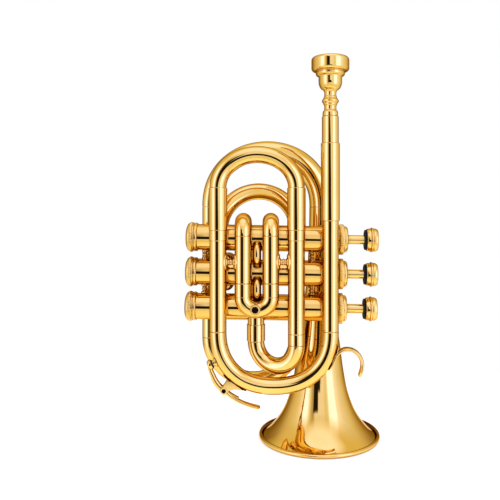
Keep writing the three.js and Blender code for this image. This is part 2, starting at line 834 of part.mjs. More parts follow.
// The mouthpiece is one turned piece, with a cup, a throat and a backbore.
function makeMouthpiece() {
  const m = mouthpiece;
  const shoulder = leadpipe.topHeight + seatGap;
  const waist = shoulder + m.collarHeight;
  const ball = waist + m.waistHeight;
  const neck = ball + m.ballHeight;
  const cup = neck + m.neckHeight;
  const ledge = cup + m.cupHeight;
  const rim = ledge + m.ledgeHeight;
  const top = rim + m.rimHeight;
  const [rimR, ledgeR, cupR] = [m.rimDiameter, m.ledgeDiameter, m.cupDiameter].map(half);
  const [neckR, ballR] = [m.neckDiameter, m.ballDiameter].map(half);
  const [waistR, collarR] = [m.waistDiameter, m.collarDiameter].map(half);
  const round = m.ledgeHeight / 2;
  return moved(
    turned([
      [half(m.shankEnd), shoulder - m.shankLength],
      [half(m.shankDiameter), shoulder],
      [collarR, shoulder],
      [collarR, waist - round / 2],
      [collarR - round / 2, waist],
      [waistR, waist],
      [waistR, ball],
      [ballR - round / 2, ball + m.ballHeight / 3],
      [ballR, ball + m.ballHeight / 2],
      [ballR - round / 2, neck - m.ballHeight / 3],
      [neckR, neck],
      [neckR, cup],
      [(neckR + cupR) / 2, cup + m.cupHeight / 8],
      [cupR - round / 2, cup + m.cupHeight / 3],
      [cupR, cup + (2 * m.cupHeight) / 3],
      [cupR, ledge],
      [ledgeR - round, ledge],
      [ledgeR, ledge + round],
      [ledgeR - round / 2, rim],
      [rimR - round, rim],
      [rimR, rim + round],
      [rimR, top - round],
      [rimR - round, top],
      [half(m.cupBore) + round / 2, top],
      [half(m.cupBore), top - round],
      [half(m.cupBore) - round, top - m.cupDepth / 2],
      [half(m.throat) + round, top - m.cupDepth + round / 2],
      [half(m.throat), top - m.cupDepth],
      [half(m.throat), waist],
      [half(m.shankEnd) - m.shankWall, shoulder - m.shankLength],
      [half(m.shankEnd), shoulder - m.shankLength],
    ]),
    leadpipe.x,
    nearDepth,
    0,
  );
}
add("mouthpiece", makeMouthpiece());

// What is soldered to the bottom bow

// A point beside the bottom bow, a distance out from its centre line, at a share of its length.
function besideBow(share, distance) {
  const tangent = bottomPath.getTangent(share);
  const point = bottomPath.getPoint(share);
  return new THREE.Vector2(point.x + tangent.z * distance, point.z - tangent.x * distance);
}

const bowSpace = rodAlong(bottomPath, tubeRadius + seatGap);

// A strip of one thickness along a flat curve.
function strip(curve, thickness, steps = bowSteps) {
  const sides = [1, -1].map((side) =>
    Array.from({ length: steps + 1 }, (_, i) => {
      const tangent = curve.getTangentAt(i / steps);
      const point = curve.getPointAt(i / steps);
      const reach = (side * thickness) / 2;
      return new THREE.Vector2(point.x - tangent.y * reach, point.y + tangent.x * reach);
    }),
  );
  return new THREE.Shape([...sides[0], ...sides[1].reverse()]);
}

// The finger hook: a curved strip on a saddle that hugs the bow.
const hookArc = new THREE.EllipseCurve(
  leadpipe.x + hook.reach,
  bottomBow.startHeight - hook.drop,
  hook.radius,
  hook.radius,
  radians(hook.startDegrees),
  radians(hook.endDegrees),
  true,
);
const footShares = [0, 1 / 2, 1].map((share) =>
  THREE.MathUtils.lerp(hook.footStartShare, hook.footEndShare, share),
);
const footLine = new THREE.SplineCurve(footShares.map((share) => besideBow(share, tubeRadius + seatGap)));
const hookBody = plate(strip(hookArc, hook.thickness), hook.width, nearDepth)
  .add(plate(strip(footLine, 2 * hook.foot, elbowSteps), hook.width, nearDepth))
  .subtract(bowSpace);
add("finger_hook", largest(hookBody));

// The water key: its nipple on the bow, the cork in the lever's cup, the saddle, and the pin.
const fromLeftFoot = (reach, drop) => new THREE.Vector2(tuning.leftX + reach, bottomBow.startHeight - drop);
const keyPivot = fromLeftFoot(waterKey.pivotReach, waterKey.pivotDrop);
const seatPoint = bottomPath.getPoint(waterKey.padShare);
const seatTangent = bottomPath.getTangent(waterKey.padShare);
const seatAngle = Math.atan2(seatTangent.z, -seatTangent.x);

// Stands an upright piece on the bow at the pad, pointing out.
function onPad(body) {
  const turn = new THREE.Matrix4().makeRotationY(seatAngle);
  return moved(solid(geometryOf(body).applyMatrix4(turn)), seatPoint.x, nearDepth, seatPoint.z);
}
const nippleEnd = tubeRadius + seatGap + waterKey.nippleHeight;
const corkStart = nippleEnd + seatGap;
const corkEnd = corkStart + waterKey.corkHeight;
const cupBack = corkEnd + seatGap;
const hole = half(waterKey.nippleDiameter) / 2;
add(
  "water_key_nipple",
  onPad(pipe(half(waterKey.nippleDiameter), hole, 0, nippleEnd, bowFacets)).subtract(bowSpace),
);
add("water_key_cork", onPad(pipe(half(waterKey.corkDiameter), 0, corkStart, corkEnd, bowFacets)), cork);

// Turns an upright piece to lie along Y at a point of the bow's plane.
function crosswise(body, point) {
  return moved(body.rotate([90, 0, 0]), point.x, nearDepth, point.y);
}
const leverLine = new THREE.SplineCurve([
  besideBow(waterKey.padShare, cupBack + waterKey.thickness / 2),
  fromLeftFoot(waterKey.kneeReach, waterKey.kneeDrop),
  keyPivot,
  fromLeftFoot(waterKey.palmReach, waterKey.palmDrop),
  fromLeftFoot(waterKey.touchReach, waterKey.touchDrop),
]);
const cupBore = half(waterKey.corkDiameter) + seatGap;
const cupMouth = corkEnd - waterKey.corkHeight / 2;
const cup = onPad(
  turned(
    [
      [0, cupBack],
      [cupBore, cupBack],
      [cupBore, cupMouth],
      [half(waterKey.cupDiameter), cupMouth],
      [half(waterKey.cupDiameter), cupBack + waterKey.thickness / 2],
      [0, cupBack + waterKey.thickness / 2],
    ],
    bowFacets,
  ),
);
const barrelReach = waterKey.width / 2;
const pinHole = pipe(
  half(waterKey.pinDiameter) + seatGap,
  0,
  -waterKey.width,
  waterKey.width,
  bowFacets,
);
const lever = plate(strip(leverLine, waterKey.thickness), waterKey.width, nearDepth)
  .add(crosswise(pipe(half(waterKey.barrelDiameter), 0, -barrelReach, barrelReach, bowFacets), keyPivot))
  .subtract(onPad(pipe(cupBore, 0, corkStart - cutOverrun, cupBack, bowFacets)))
  .add(cup)
  .subtract(crosswise(pinHole, keyPivot));
add("water_key_lever", largest(lever));
const pinReach = waterKey.pinLength / 2;
const pin = pipe(half(waterKey.pinDiameter), 0, -pinReach, pinReach, bowFacets);
add("water_key_pin", crosswise(pin, keyPivot), steel);

// The saddle's two lugs stand either side of the lever on a foot that hugs the bow.
const lugFoot = besideBow(waterKey.lugFootShare, tubeRadius);
const lugLine = new THREE.LineCurve(keyPivot, lugFoot);
const lugOffset = waterKey.width / 2 + seatGap + waterKey.lug / 2;
const lugs = [1, -1].map((side) => {
  const arm = plate(strip(lugLine, waterKey.barrelDiameter, 1), waterKey.lug, nearDepth + side * lugOffset);
  const eye = pipe(half(waterKey.barrelDiameter), 0, -waterKey.lug / 2, waterKey.lug / 2, bowFacets);
  return arm.add(moved(crosswise(eye, keyPivot), 0, side * lugOffset, 0));
});
const lugWidth = 2 * lugOffset + waterKey.lug;
const saddleFoot = plate(
  strip(
    new THREE.LineCurve(
      besideBow(waterKey.lugFootShare - waterKey.footHalfShare, tubeRadius + seatGap),
      besideBow(waterKey.lugFootShare + waterKey.footHalfShare, tubeRadius + seatGap),
    ),
    2 * waterKey.lug,
    1,
  ),
  lugWidth,
  nearDepth,
);
const saddle = saddleFoot
  .add(lugs[0])
  .add(lugs[1])
  .subtract(crosswise(pinHole, keyPivot))
  .subtract(bowSpace);
add("water_key_saddle", largest(saddle));

// Braces

// Each link leaves a casing's front, bows out and enters the next casing.
for (const [i, height] of [firstHeight, secondHeight].entries()) {
  const reach = half(casingLink.span);
  const path = new Bow(at(0, -reach, 0), at(0, reach, 0), casingLink.rise);
  const rod = rodAlong(path, half(casingLink.diameter)).rotate([90, 0, 0]);
  const middle = firstSlide.leftX + half(firstSlide.span);
  add("casing_link_" + (i + 1), largest(fitted(moved(rod, middle, 0, height - casingLink.drop), i, i + 1)));
}

// A spool between two upright tubes of one layer.
function spool(name, leftX, leftRadius, rightX, rightRadius, depth, height) {
  const [start, end] = [leftX + leftRadius - seatGap, rightX - rightRadius + seatGap];
  const reach = (end - start) * brace.flangeShare;
  const [wide, narrow] = [half(brace.flangeDiameter), half(brace.waistDiameter)];
  const body = turned(
    [
      [0, leftX],
      [wide, leftX],
      [wide, start + reach],
      [narrow, start + 2 * reach],
      [narrow, end - 2 * reach],
      [wide, end - reach],
      [wide, rightX],
      [0, rightX],
    ],
    bowFacets,
  );
  const rods = [
    [leftX, leftRadius],
    [rightX, rightRadius],
  ].map(([x, radius]) => moved(pipe(radius + seatGap, 0, -wide * 2, wide * 2), x, 0, 0));
  const trimmed = rods.reduce((left, rod) => left.subtract(rod), laid(body));
  add(name, moved(largest(trimmed), 0, depth, height));
}
const spoolDepth = (nearDepth + firstDepth) / 2;
spool("brace_left", tuning.leftX, tubeRadius, slideXs.left, outerRadius, spoolDepth, brace.height);
spool("brace_right", slideXs.right, outerRadius, tuning.rightX, tubeRadius, spoolDepth, brace.height);

// The posts between the block and the bell stand level behind the outer valves.
for (const [name, height, place] of [
  ["bell_brace_upper", firstHeight, 0],
  ["bell_brace_lower", thirdHeight, 2],
]) {
  const post = pipe(half(bellBrace.diameter), 0, 0, bell.depth, bowFacets).rotate([-90, 0, 0]);
  const placed = fitted(moved(post, bell.x, 0, height), place);
  const [low, high] = [height - bellBrace.diameter, height + bellBrace.diameter];
  const bellSpace = pipe(bellRadiusAt(height - half(bellBrace.diameter)) + seatGap, 0, low, high, bellFacets);
  add(name, largest(placed.subtract(moved(bellSpace, bell.x + leanAt(height), bell.depth, 0))));
}

// The part's origin is the middle of the foot of its own box.
const part = new THREE.Group();
part.add(trumpet);
const box = new THREE.Box3().setFromObject(trumpet, true);
const middle = box.getCenter(new THREE.Vector3());
trumpet.position.set(-middle.x, -middle.y, -box.min.z);

export default part;
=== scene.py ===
"""A pocket trumpet that stands on its bell: bright lacquered brass, three valves and four slides."""

import math

import bmesh
import bpy
from mathutils import Matrix, Vector


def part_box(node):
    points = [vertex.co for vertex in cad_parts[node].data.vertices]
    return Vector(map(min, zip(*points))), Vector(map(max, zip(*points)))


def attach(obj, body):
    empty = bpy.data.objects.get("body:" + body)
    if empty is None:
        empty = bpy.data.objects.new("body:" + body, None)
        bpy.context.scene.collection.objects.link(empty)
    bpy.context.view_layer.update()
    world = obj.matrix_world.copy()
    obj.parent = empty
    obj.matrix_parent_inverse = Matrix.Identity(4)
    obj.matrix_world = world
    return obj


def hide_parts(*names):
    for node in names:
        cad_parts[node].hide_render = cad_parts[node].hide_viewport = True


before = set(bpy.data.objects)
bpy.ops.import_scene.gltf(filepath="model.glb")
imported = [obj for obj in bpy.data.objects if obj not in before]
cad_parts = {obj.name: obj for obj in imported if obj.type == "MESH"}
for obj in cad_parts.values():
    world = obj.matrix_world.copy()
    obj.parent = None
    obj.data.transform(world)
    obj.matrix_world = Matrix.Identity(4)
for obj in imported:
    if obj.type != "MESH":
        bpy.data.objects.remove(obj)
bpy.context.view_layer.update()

# Sizes are written in millimetres, on the drawing's own axes, as in the part's source.
MM = 0.001
BELL_X, BELL_DEPTH = 34.1, 30.3
bell_low, bell_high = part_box("bell")
SHIFT = Vector((
    (bell_low.x + bell_high.x) / 2 - BELL_X * MM,
    (bell_low.y + bell_high.y) / 2 - BELL_DEPTH * MM,
    0.0,
))

# Clearances where pieces fit, and at a soldered joint; how far an edge is softened, and the short
# flat step beside it
SEAT, SEAM, GROOVE, HOLD = 0.3, 0.1, 0.28, 0.2

# Facets round a form, and the angle from which an edge stays sharp
ROUND_SIDES, TUBE_SIDES, BELL_SIDES, SMALL_SIDES, FINE_SIDES = 72, 48, 160, 40, 32
SHARP = math.radians(38)

# Tubing
TUBE, SLEEVE, FERRULE, WALL = 6.25, 6.85, 6.55, 0.8
BORE = TUBE - WALL

# The valves, measured along their own axis from the middle of the block
PITCH, BLOCK_HEIGHT, TILT = 26.25, 135.1, math.radians(1)
CASING, CASING_BORE = 9.9, 8.6
CASING_START, CASING_END = -66.1, 46.5
CAP_END, STROKE = 53.1, 13.0
STEM, FELT, FELT_RADIUS = 3.4, 1.4, 7.7
TEETH, TOOTH_DEPTH, BOTTOM_KNURL, TOP_KNURL = 60, 0.22, 11.35, 11.6
POST_PLACES = (-54.9, 26.4)
POST_MIDDLE, POST_END = PITCH / 2, PITCH - CASING - SEAT
LINK_DROP, LINK_RADIUS, LINK_HALF, LINK_REACH, LINK_SQUARENESS = 11.0, 3.2, 7.4, 13.6, 3.0

# The near loop
NEAR_DEPTH = -16.75
LEAD_X, LEAD_TOP, LEAD_SLEEVE_TOP, LEAD_SLEEVE_FOOT = 39.2, 251.6, 232.0, 175.2
RECEIVER, RECEIVER_BORE, LEAD_SLEEVE, LEADPIPE, LEAD_BORE = 6.2, 5.4, 6.95, 6.15, 5.35
MOUTHPIECE_TOP = 295.3
BOW_START, BOW_DROP, BOW_SQUARENESS, BOW_STEPS = 94.1, 40.4, 2.25, 400
LEG_LEFT, LEG_RIGHT, LEG_SEAM = -43.4, 14.3, 92.2
SLEEVE_TOP, SLEEVE_FOOT, FERRULE_FOOT, TUNING_RISE, TUNING_LEG = 199.2, 168.2, 160.6, 24.3, 29.0
ENTRY_X, ENTRY_DEPTH, ENTRY_START, ENTRY_DROP, ENTRY_TOP = -15.9, -3.0, 84.1, 17.3, 96.7
ENTRY_LAP, ENTRY_STOP = 2.0, 6.0

# The slides of the three valves
SLIDE_LEFT, SLIDE_SPAN, SLIDE_INNER, SLIDE_OUTER = -25.1, 20.5, 5.4, 6.15
SLIDE_RIGHT = SLIDE_LEFT + SLIDE_SPAN
FIRST_DEPTH = -(CASING + SLIDE_OUTER + SEAT)
FIRST_ELBOW, FIRST_ELBOW_DEPTH, FIRST_ELBOW_RISE, KNUCKLE_SEAM = 165.0, -1.0, 9.7, 163.9
FIRST_SLEEVE_FOOT, FIRST_FERRULE_FOOT, FIRST_DROP, FIRST_LEG = 129.4, 119.1, 9.6, 27.0
DRAIN_X, DRAIN_HEIGHT, DRAIN_BORE = -15.9, 110.4, 2.4
THIRD_RISE, THIRD_SLEEVE_TOP, THIRD_FERRULE_TOP, THIRD_LEG = 12.0, 146.0, 153.0, 20.0
SECOND_X, SECOND_SPAN, SECOND_INNER, SECOND_OUTER = -38.6, 17.0, 4.7, 5.45
SECOND_START, SECOND_SLEEVE, SECOND_FERRULE, SECOND_RISE, SECOND_LEG = 4.0, 11.0, 3.0, 8.0, 9.0
SECOND_BAND, SECOND_BAND_LENGTH = 0.3, 2.2

# The far coil
COIL_DEPTH = 16.45
ARCH_LEFT, ARCH_RIGHT, ARCH_DEPTH, ARCH_START, ARCH_RISE = -43.9, 15.9, 4.0, 167.4, 29.9
LOW_START, LOW_DROP, UP_X, HIGH_START, HIGH_RISE, HIGH_SQUARENESS = 83.2, 33.8, -52.6, 185.3, 44.4, 2.1

# The bell, and its flare as shares of its height and of its rim's radius
RIM, BEAD, TAIL, BELL_HEIGHT, BELL_LEAN, BELL_WALL = 48.7, 1.7, 9.8, 185.3, 2.0, 0.9
FLARE_SHARES = [
    (0.006, 0.965), (0.03, 0.835), (0.066, 0.713), (0.105, 0.615), (0.15, 0.536), (0.21, 0.463),
    (0.3, 0.398), (0.39, 0.351), (0.48, 0.302), (0.62, 0.247), (0.78, 0.214),
]

# What is soldered to the bottom bow
HOOK_LINE = [
    (41.2, 71.0), (43.6, 76.4), (47.5, 79.8), (52.2, 80.8), (57.2, 79.2), (61.0, 75.2), (62.6, 70.2),
    (62.2, 65.6), (60.3, 60.6),
]
HOOK_WIDTH, HOOK_THICKNESS = 7.0, 2.7
PIVOT_X, PIVOT_HEIGHT, PAD_SHARE = -38.8, 51.0, 0.15
KEY_WIDTH, TOUCH_WIDER, TOUCH_SHARE = 5.0, 3.2, 0.68
NIPPLE, NIPPLE_BORE, NIPPLE_FOOT = 2.5, 1.25, 3.6
CORK, CORK_FOOT, CORK_TOP = 2.8, 8.65, 10.25
PIN, PIN_HALF, EYE, EYE_BORE = 1.6, 4.5, 2.6, 1.65
LUG_THICKNESS, LUG_GAP, PLATE_THICKNESS = 1.2, 0.6, 1.2
# The lever's middle line from the cork to the touch: place, height and thickness
LEVER_LINE = [
    (-47.6, 62.6, 3.6), (-45.1, 57.0, 4.3), (-41.9, 53.0, 4.4), (PIVOT_X, PIVOT_HEIGHT, 4.0),
    (-33.5, 46.1, 2.9), (-26.1, 41.9, 2.5), (-18.4, 39.2, 2.2), (-12.4, 37.9, 1.7),
]
SPRING_PLATE = [(-36.4, 49.9), (-32.4, 47.3), (-28.2, 45.0)]
LUG = [
    (-41.3, 50.2), (-40.9, 52.4), (-39.2, 54.4), (-36.6, 58.6), (-33.0, 57.6), (-28.5, 54.2), (-24.6, 51.4),
    (-30.6, 52.2), (-35.0, 51.2), (-37.0, 48.9), (-38.9, 48.4), (-40.6, 49.0),
]

# The braces
BRACE_HEIGHT = 144.8
FOOT_ACROSS, FOOT_UP, FOOT_THICKNESS, FOOT_SUNK = 4.9, 6.0, 0.8, 0.5


# Placing

SIDEWAYS, AWAY = Vector((1, 0, 0)), Vector((0, 1, 0))
HERE = Matrix.Identity(4)
BLOCK = Matrix.Translation((0, 0, BLOCK_HEIGHT)) @ Matrix.Rotation(TILT, 4, "Y")


def spot(x, y, z):
    """A point of the drawing, in metres, in the model's frame."""
    return Vector((x, y, z)) * MM + SHIFT


def standing(x, y, z=0.0):
    """Places a form with its axis upright."""
    return Matrix.Translation((x, y, z))


def facing(x, y, z, direction):
    """Places a form with its axis along a direction."""
    swing = Vector(direction).to_track_quat("Z", "Y").to_matrix().to_4x4()
    return Matrix.Translation((x, y, z)) @ swing


def in_valve(number):
    """Places a form with its axis along a valve, its buttons' way up."""
    row = Matrix.Translation((0, 0, (2 - number) * PITCH))
    return BLOCK @ row @ Matrix.Rotation(math.pi / 2, 4, "Y")


def valve_height(number):
    return BLOCK_HEIGHT + (2 - number) * PITCH


# Forms: the first three functions join points, and each one from turn to slab adds a closed skin

def bridge(form, first, second):
    """Joins two rings of points; a ring of one point makes a fan."""
    if len(first) == 1 and len(second) == 1:
        return
    for i in range(max(len(first), len(second))):
        steps = ((first, i), (first, i + 1), (second, i + 1), (second, i))
        corners = list(dict.fromkeys(points[k % len(points)] for points, k in steps))
        if len(corners) > 2:
            form.faces.new(corners)


def close_round(form, rings):
    """Joins a row of rings to one another, and the last one to the first."""
    for first, second in zip(rings, rings[1:] + rings[:1]):
        bridge(form, first, second)


def close_ends(form, rings):
    """Joins a row of rings to one another, with a face at either end."""
    for first, second in zip(rings, rings[1:]):
        bridge(form, first, second)
    form.faces.new(rings[0][::-1])
    form.faces.new(rings[-1])


def rounded(outline, steps=4):
    """Rounds each corner of a closed outline whose third number says how far.

    A point a little past each end of a rounding keeps the long faces beside it looking flat.
    """
    points = []
    for i, (x, y, *rounding) in enumerate(outline):
        corner = Vector((x, y))
        if not rounding:
            points.append(corner)
            continue
        before = Vector(outline[i - 1][:2]) - corner
        after = Vector(outline[(i + 1) % len(outline)][:2]) - corner
        reach = min(rounding[0], before.length / 2, after.length / 2)
        start = corner + before.normalized() * reach
        end = corner + after.normalized() * reach
        if before.length / 2 > reach + 2 * HOLD:
            points.append(start + before.normalized() * HOLD)
        for k in range(steps + 1):
            t = k / steps
            points.append(start * (1 - t) ** 2 + corner * 2 * t * (1 - t) + end * t ** 2)
        if after.length / 2 > reach + 2 * HOLD:
            points.append(end + after.normalized() * HOLD)
    return points


def turn(form, outline, sides=ROUND_SIDES, place=HERE, steps=4):
    """Turns a closed outline of (radius, height, rounding) about its axis."""
    rings = []
    for radius, height in rounded(outline, steps):
        count = 1 if radius < 1e-6 else sides
        angles = [2 * math.pi * i / count for i in range(count)]
        rings.append([
            form.verts.new(place @ Vector((radius * math.cos(a), radius * math.sin(a), height)))
            for a in angles
        ])
    close_round(form, rings)


def ring(form, outer, inner, bottom, top, rounding=GROOVE, sides=ROUND_SIDES, place=HERE):
    """A straight tube with softened outer edges."""
    outline = [(inner, bottom), (outer, bottom, rounding), (outer, top, rounding), (inner, top)]
    turn(form, outline, sides, place)


def rod(form, radius, bottom, top, rounding=GROOVE, sides=ROUND_SIDES, place=HERE):
    """A solid round bar with softened ends."""
    outline = [(0, bottom), (radius, bottom, rounding), (radius, top, rounding), (0, top)]
    turn(form, outline, sides, place)


def knurl(form, radius, bottom, top, rounding, place):
    """A knurled band: straight teeth whose ends run out in a rounded edge."""
    rise = (0.0, 0.45, 1.0, 1.0, 0.45, 0.0)
    sides = TEETH * len(rise)
    inner, edge = radius - 3 * TOOTH_DEPTH, radius - TOOTH_DEPTH - rounding / 2
    levels = [
        (inner, bottom, 0), (edge, bottom, 0), (radius, bottom + rounding, 1),
        (radius, top - rounding, 1), (edge, top, 0), (inner, top, 0),
    ]
    rings = []
    for reach, height, toothed in levels:
        points = []
        for i in range(sides):
            angle = 2 * math.pi * i / sides
            cut = reach - toothed * TOOTH_DEPTH * (1 - rise[i % len(rise)])
            point = Vector((cut * math.cos(angle), cut * math.sin(angle), height))
            points.append(form.verts.new(place @ point))
        rings.append(points)
    close_round(form, rings)


def evenly(points, count):
    """The same line with points at even steps along it."""
    lengths = [0.0]
    for a, b in zip(points, points[1:]):
        lengths.append(lengths[-1] + (b - a).length)
    spaced, k = [], 0
    for i in range(count + 1):
        want = lengths[-1] * i / count
        while k < len(points) - 2 and lengths[k + 1] < want:
            k += 1
        share = (want - lengths[k]) / max(lengths[k + 1] - lengths[k], 1e-9)
        spaced.append(points[k].lerp(points[k + 1], min(share, 1.0)))
    return spaced


def tangents(path):
    """The direction of a line at each of its points."""
    ahead = [path[1] - path[0]] + [c - a for a, c in zip(path, path[2:])] + [path[-1] - path[-2]]
    return [step.normalized() for step in ahead]


def sections(path, side):
    """Two directions square to a path at each point, carried along it without a twist."""
    frames = []
    for tangent in tangents(path):
        side = (side - tangent * side.dot(tangent)).normalized()
        frames.append((side, tangent.cross(side)))
    return frames


def sweep(form, path, radii, groove=GROOVE, side=AWAY):
    """A round bar along a path, both ends softened as far as groove says; side only sets its facets."""
    if not isinstance(radii, list):
        radii = [radii] * len(path)
    if groove:
        along, first, last = tangents(path), radii[0], radii[-1]
        opening = [path[0] + along[0] * step for step in (0.0, groove, groove + HOLD)]
        closing = [path[-1] - along[-1] * step for step in (groove + HOLD, groove, 0.0)]
        path = [*opening, *path[1:-1], *closing]
        radii = [first - groove, first, first, *radii[1:-1], last, last, last - groove]
    angles = [2 * math.pi * i / TUBE_SIDES for i in range(TUBE_SIDES)]
    rings = []
    for centre, (u, v), radius in zip(path, sections(path, side), radii):
        spokes = [(u * math.cos(a) + v * math.sin(a)) * radius for a in angles]
        rings.append([form.verts.new(centre + spoke) for spoke in spokes])
    close_ends(form, rings)


def squared(value, squareness):
    """A sine or cosine drawn out toward the shoulders: 2 leaves it round, more makes it squarer."""
    return math.copysign(abs(value) ** (2 / squareness), value)


def strap(form, path, widths, thicknesses, squareness=2.8):
    """A flat bar with rounded edges along a path in the plane of the loop, its width square to it."""
    rings = []
    for point, tangent, width, thickness in zip(path, tangents(path), widths, thicknesses):
        normal = tangent.cross(AWAY).normalized()
        points = []
        for i in range(SMALL_SIDES):
            angle = 2 * math.pi * i / SMALL_SIDES
            u = squared(math.cos(angle), squareness) * thickness / 2
            v = squared(math.sin(angle), squareness) * width / 2
            points.append(form.verts.new(point + normal * u + AWAY * v))
        rings.append(points)
    close_ends(form, rings)


def slab(form, outline, middle, width, edge=0.25):
    """A flat plate of an outline in the plane of the loop, with softened edges."""
    centre = sum((Vector(p) for p in outline), Vector((0, 0))) / len(outline)

    def layer(depth, inset):
        points = []
        for p in outline:
            out = Vector(p) - centre
            out *= (out.length - inset) / out.length
            points.append(form.verts.new((centre.x + out.x, depth, centre.y + out.y)))
        return points

    low, high = middle - width / 2, middle + width / 2
    close_ends(form, [layer(low, edge), layer(low + edge, 0), layer(high - edge, 0), layer(high, edge)])


# Lines

def bow(start, end, rise, squareness=2.0, steps=96):
    """A bow between two upright legs: round, or squarer in the shoulders with more squareness."""
    start, end, points = Vector(start), Vector(end), []
    for i in range(steps + 1):
        angle = math.pi * i / steps
        point = start.lerp(end, (1 - squared(math.cos(angle), squareness)) / 2)
        point.z += rise * squared(max(math.sin(angle), 0.0), squareness)
        points.append(point)
    return points


def bend(start, reach, rise, steps=24):
    """A quarter bend from level, along Y, to upright."""
    points = []
    for i in range(steps + 1):
        angle = math.pi / 2 * i / steps
        offset = Vector((0, reach * math.sin(angle), rise * (1 - math.cos(angle))))
        points.append(Vector(start) + offset)
    return points


def curve_through(points, steps=12):
    """A smooth line through points."""
    points = [Vector(p) for p in points]
    line = []
    for i in range(len(points) - 1):
        a, b, c, d = (points[max(i - 1, 0)], points[i], points[i + 1], points[min(i + 2, len(points) - 1)])
        for k in range(steps):
            t = k / steps
            line.append(0.5 * (
                2 * b + (c - a) * t + (2 * a - 5 * b + 4 * c - d) * t ** 2 + (3 * b - a - 3 * c + d) * t ** 3
            ))
    return [*line, points[-1]]


def level_bow(left, right, depth, height, *shape):
    """A bow between two legs at one depth and one height."""
    return bow((left, depth, height), (right, depth, height), *shape)


BOTTOM_LINE = level_bow(
    LEG_LEFT, LEAD_X, NEAR_DEPTH, BOW_START - SEAM, -BOW_DROP, BOW_SQUARENESS, BOW_STEPS,
)


def beside_bow(share, distance):
    """A point out from the bottom bow's centre line, at a share of its sweep."""
    k = round(share * BOW_STEPS)
    tangent = (BOTTOM_LINE[k + 1] - BOTTOM_LINE[k - 1]).normalized()
    return BOTTOM_LINE[k] + Vector((tangent.z, 0, -tangent.x)) * distance


# Node tools

def feed(tree, socket, value):
    """Links a socket to the one it is given, or else sets its value or its colour."""
    if isinstance(value, bpy.types.NodeSocket):
        tree.links.new(value, socket)
    elif socket.type == "RGBA":
        socket.default_value = (*value, 1)
    else:
        socket.default_value = value


def add_node(tree, kind, inputs, **settings):
    """A node with its settings, and what each of its inputs is fed with."""
    node = tree.nodes.new(kind)
    for key, value in settings.items():
        setattr(node, key, value)
    for label, value in inputs.items():
        feed(tree, node.inputs[label], value)
    return node


def dress(tree, shader, inputs):
    """Feeds a shader's inputs."""
    for label, value in inputs.items():
        feed(tree, shader.inputs[label], value)


def maths(tree, operation, a, b):
    return add_node(tree, "ShaderNodeMath", {0: a, 1: b}, operation=operation).outputs["Value"]


def mapped(tree, value, low=0.0, high=1.0, to_low=0.0, to_high=1.0):
    """Maps a value's span from low to high on to another one, and holds it at the ends."""
    inputs = {"Value": value, "From Min": low, "From Max": high, "To Min": to_low, "To Max": to_high}
    return add_node(tree, "ShaderNodeMapRange", inputs).outputs["Result"]


def blended(tree, factor, a, b):
    """A colour that goes from a to b as the factor goes from 0 to 1."""
    inputs = {"Factor": factor, "A": a, "B": b}
    return add_node(tree, "ShaderNodeMix", inputs, data_type="RGBA").outputs["Result"]


def noise_on_surface(tree, stretch, scale, detail):
    """A noise over the piece's own coordinates, stretched by three scales."""
    place = tree.nodes.new("ShaderNodeTexCoord").outputs["Object"]
    mapping = add_node(tree, "ShaderNodeMapping", {"Vector": place, "Scale": stretch})
    inputs = {"Vector": mapping.outputs["Vector"], "Scale": scale, "Detail": detail}
    return add_node(tree, "ShaderNodeTexNoise", inputs).outputs["Fac"]


def bumped(tree, height, strength):
    """A normal that follows a fine relief."""
    inputs = {"Height": height, "Strength": strength, "Distance": RELIEF}
    return add_node(tree, "ShaderNodeBump", inputs).outputs["Normal"]


def shader_group(name, inputs, outputs):
    """An empty node group with named sockets: its tree, what it is given and what it puts out."""
    tree = bpy.data.node_groups.new(name, "ShaderNodeTree")
    for label, kind, value in inputs:
        tree.interface.new_socket(name=label, in_out="INPUT", socket_type=kind).default_value = value
    for label, kind in outputs:
        tree.interface.new_socket(name=label, in_out="OUTPUT", socket_type=kind)
    return tree, tree.nodes.new("NodeGroupInput").outputs, tree.nodes.new("NodeGroupOutput").inputs


def placed(tree, group, **inputs):
    """A shader group in a material with its own values: what it puts out."""
    node = tree.nodes.new("ShaderNodeGroup")
    node.node_tree = group
    for key, value in inputs.items():
        feed(tree, node.inputs[key.replace("_", " ").title()], value)
    return node.outputs


# The two effects that the materials share

RELIEF, NEARNESS = 0.0002, 0.006
# Painted shade: the tint that browns a metal's deep colour where pieces lie close
CREVICE_SHADE = (0.5, 0.33, 0.14)
WHITE = (1, 1, 1)


def make_tone_and_shade_group():
    """Slow drifts of colour, as a lacquer has where it lies thicker, and painted shade: brown where ambient
    occlusion finds pieces close together.
    """
    tree, given, result = shader_group(
        "lacquer_tone_and_painted_shade",
        [("Colour", "NodeSocketColor", (*WHITE, 1)), ("Deep Colour", "NodeSocketColor", (*WHITE, 1)),
         ("Crevice Colour", "NodeSocketColor", (*WHITE, 1)), ("Scale", "NodeSocketFloat", 60.0),
         ("Share", "NodeSocketFloat", 0.5), ("Openness", "NodeSocketFloat", 1.0)],
        [("Colour", "NodeSocketColor")],
    )
    drift = mapped(tree, noise_on_surface(tree, (1.0, 1.0, 1.0), given["Scale"], 3.0), 0.35, 0.7)
    depth = maths(tree, "MULTIPLY", drift, given["Share"])
    open_colour = blended(tree, depth, given["Colour"], given["Deep Colour"])
    # Painted shade: where occlusion says the surface is closed in, the colour goes over to the crevice shade
    openness = mapped(tree, given["Openness"], 0.25, 0.8)
    feed(tree, result["Colour"], blended(tree, openness, given["Crevice Colour"], open_colour))
    return tree


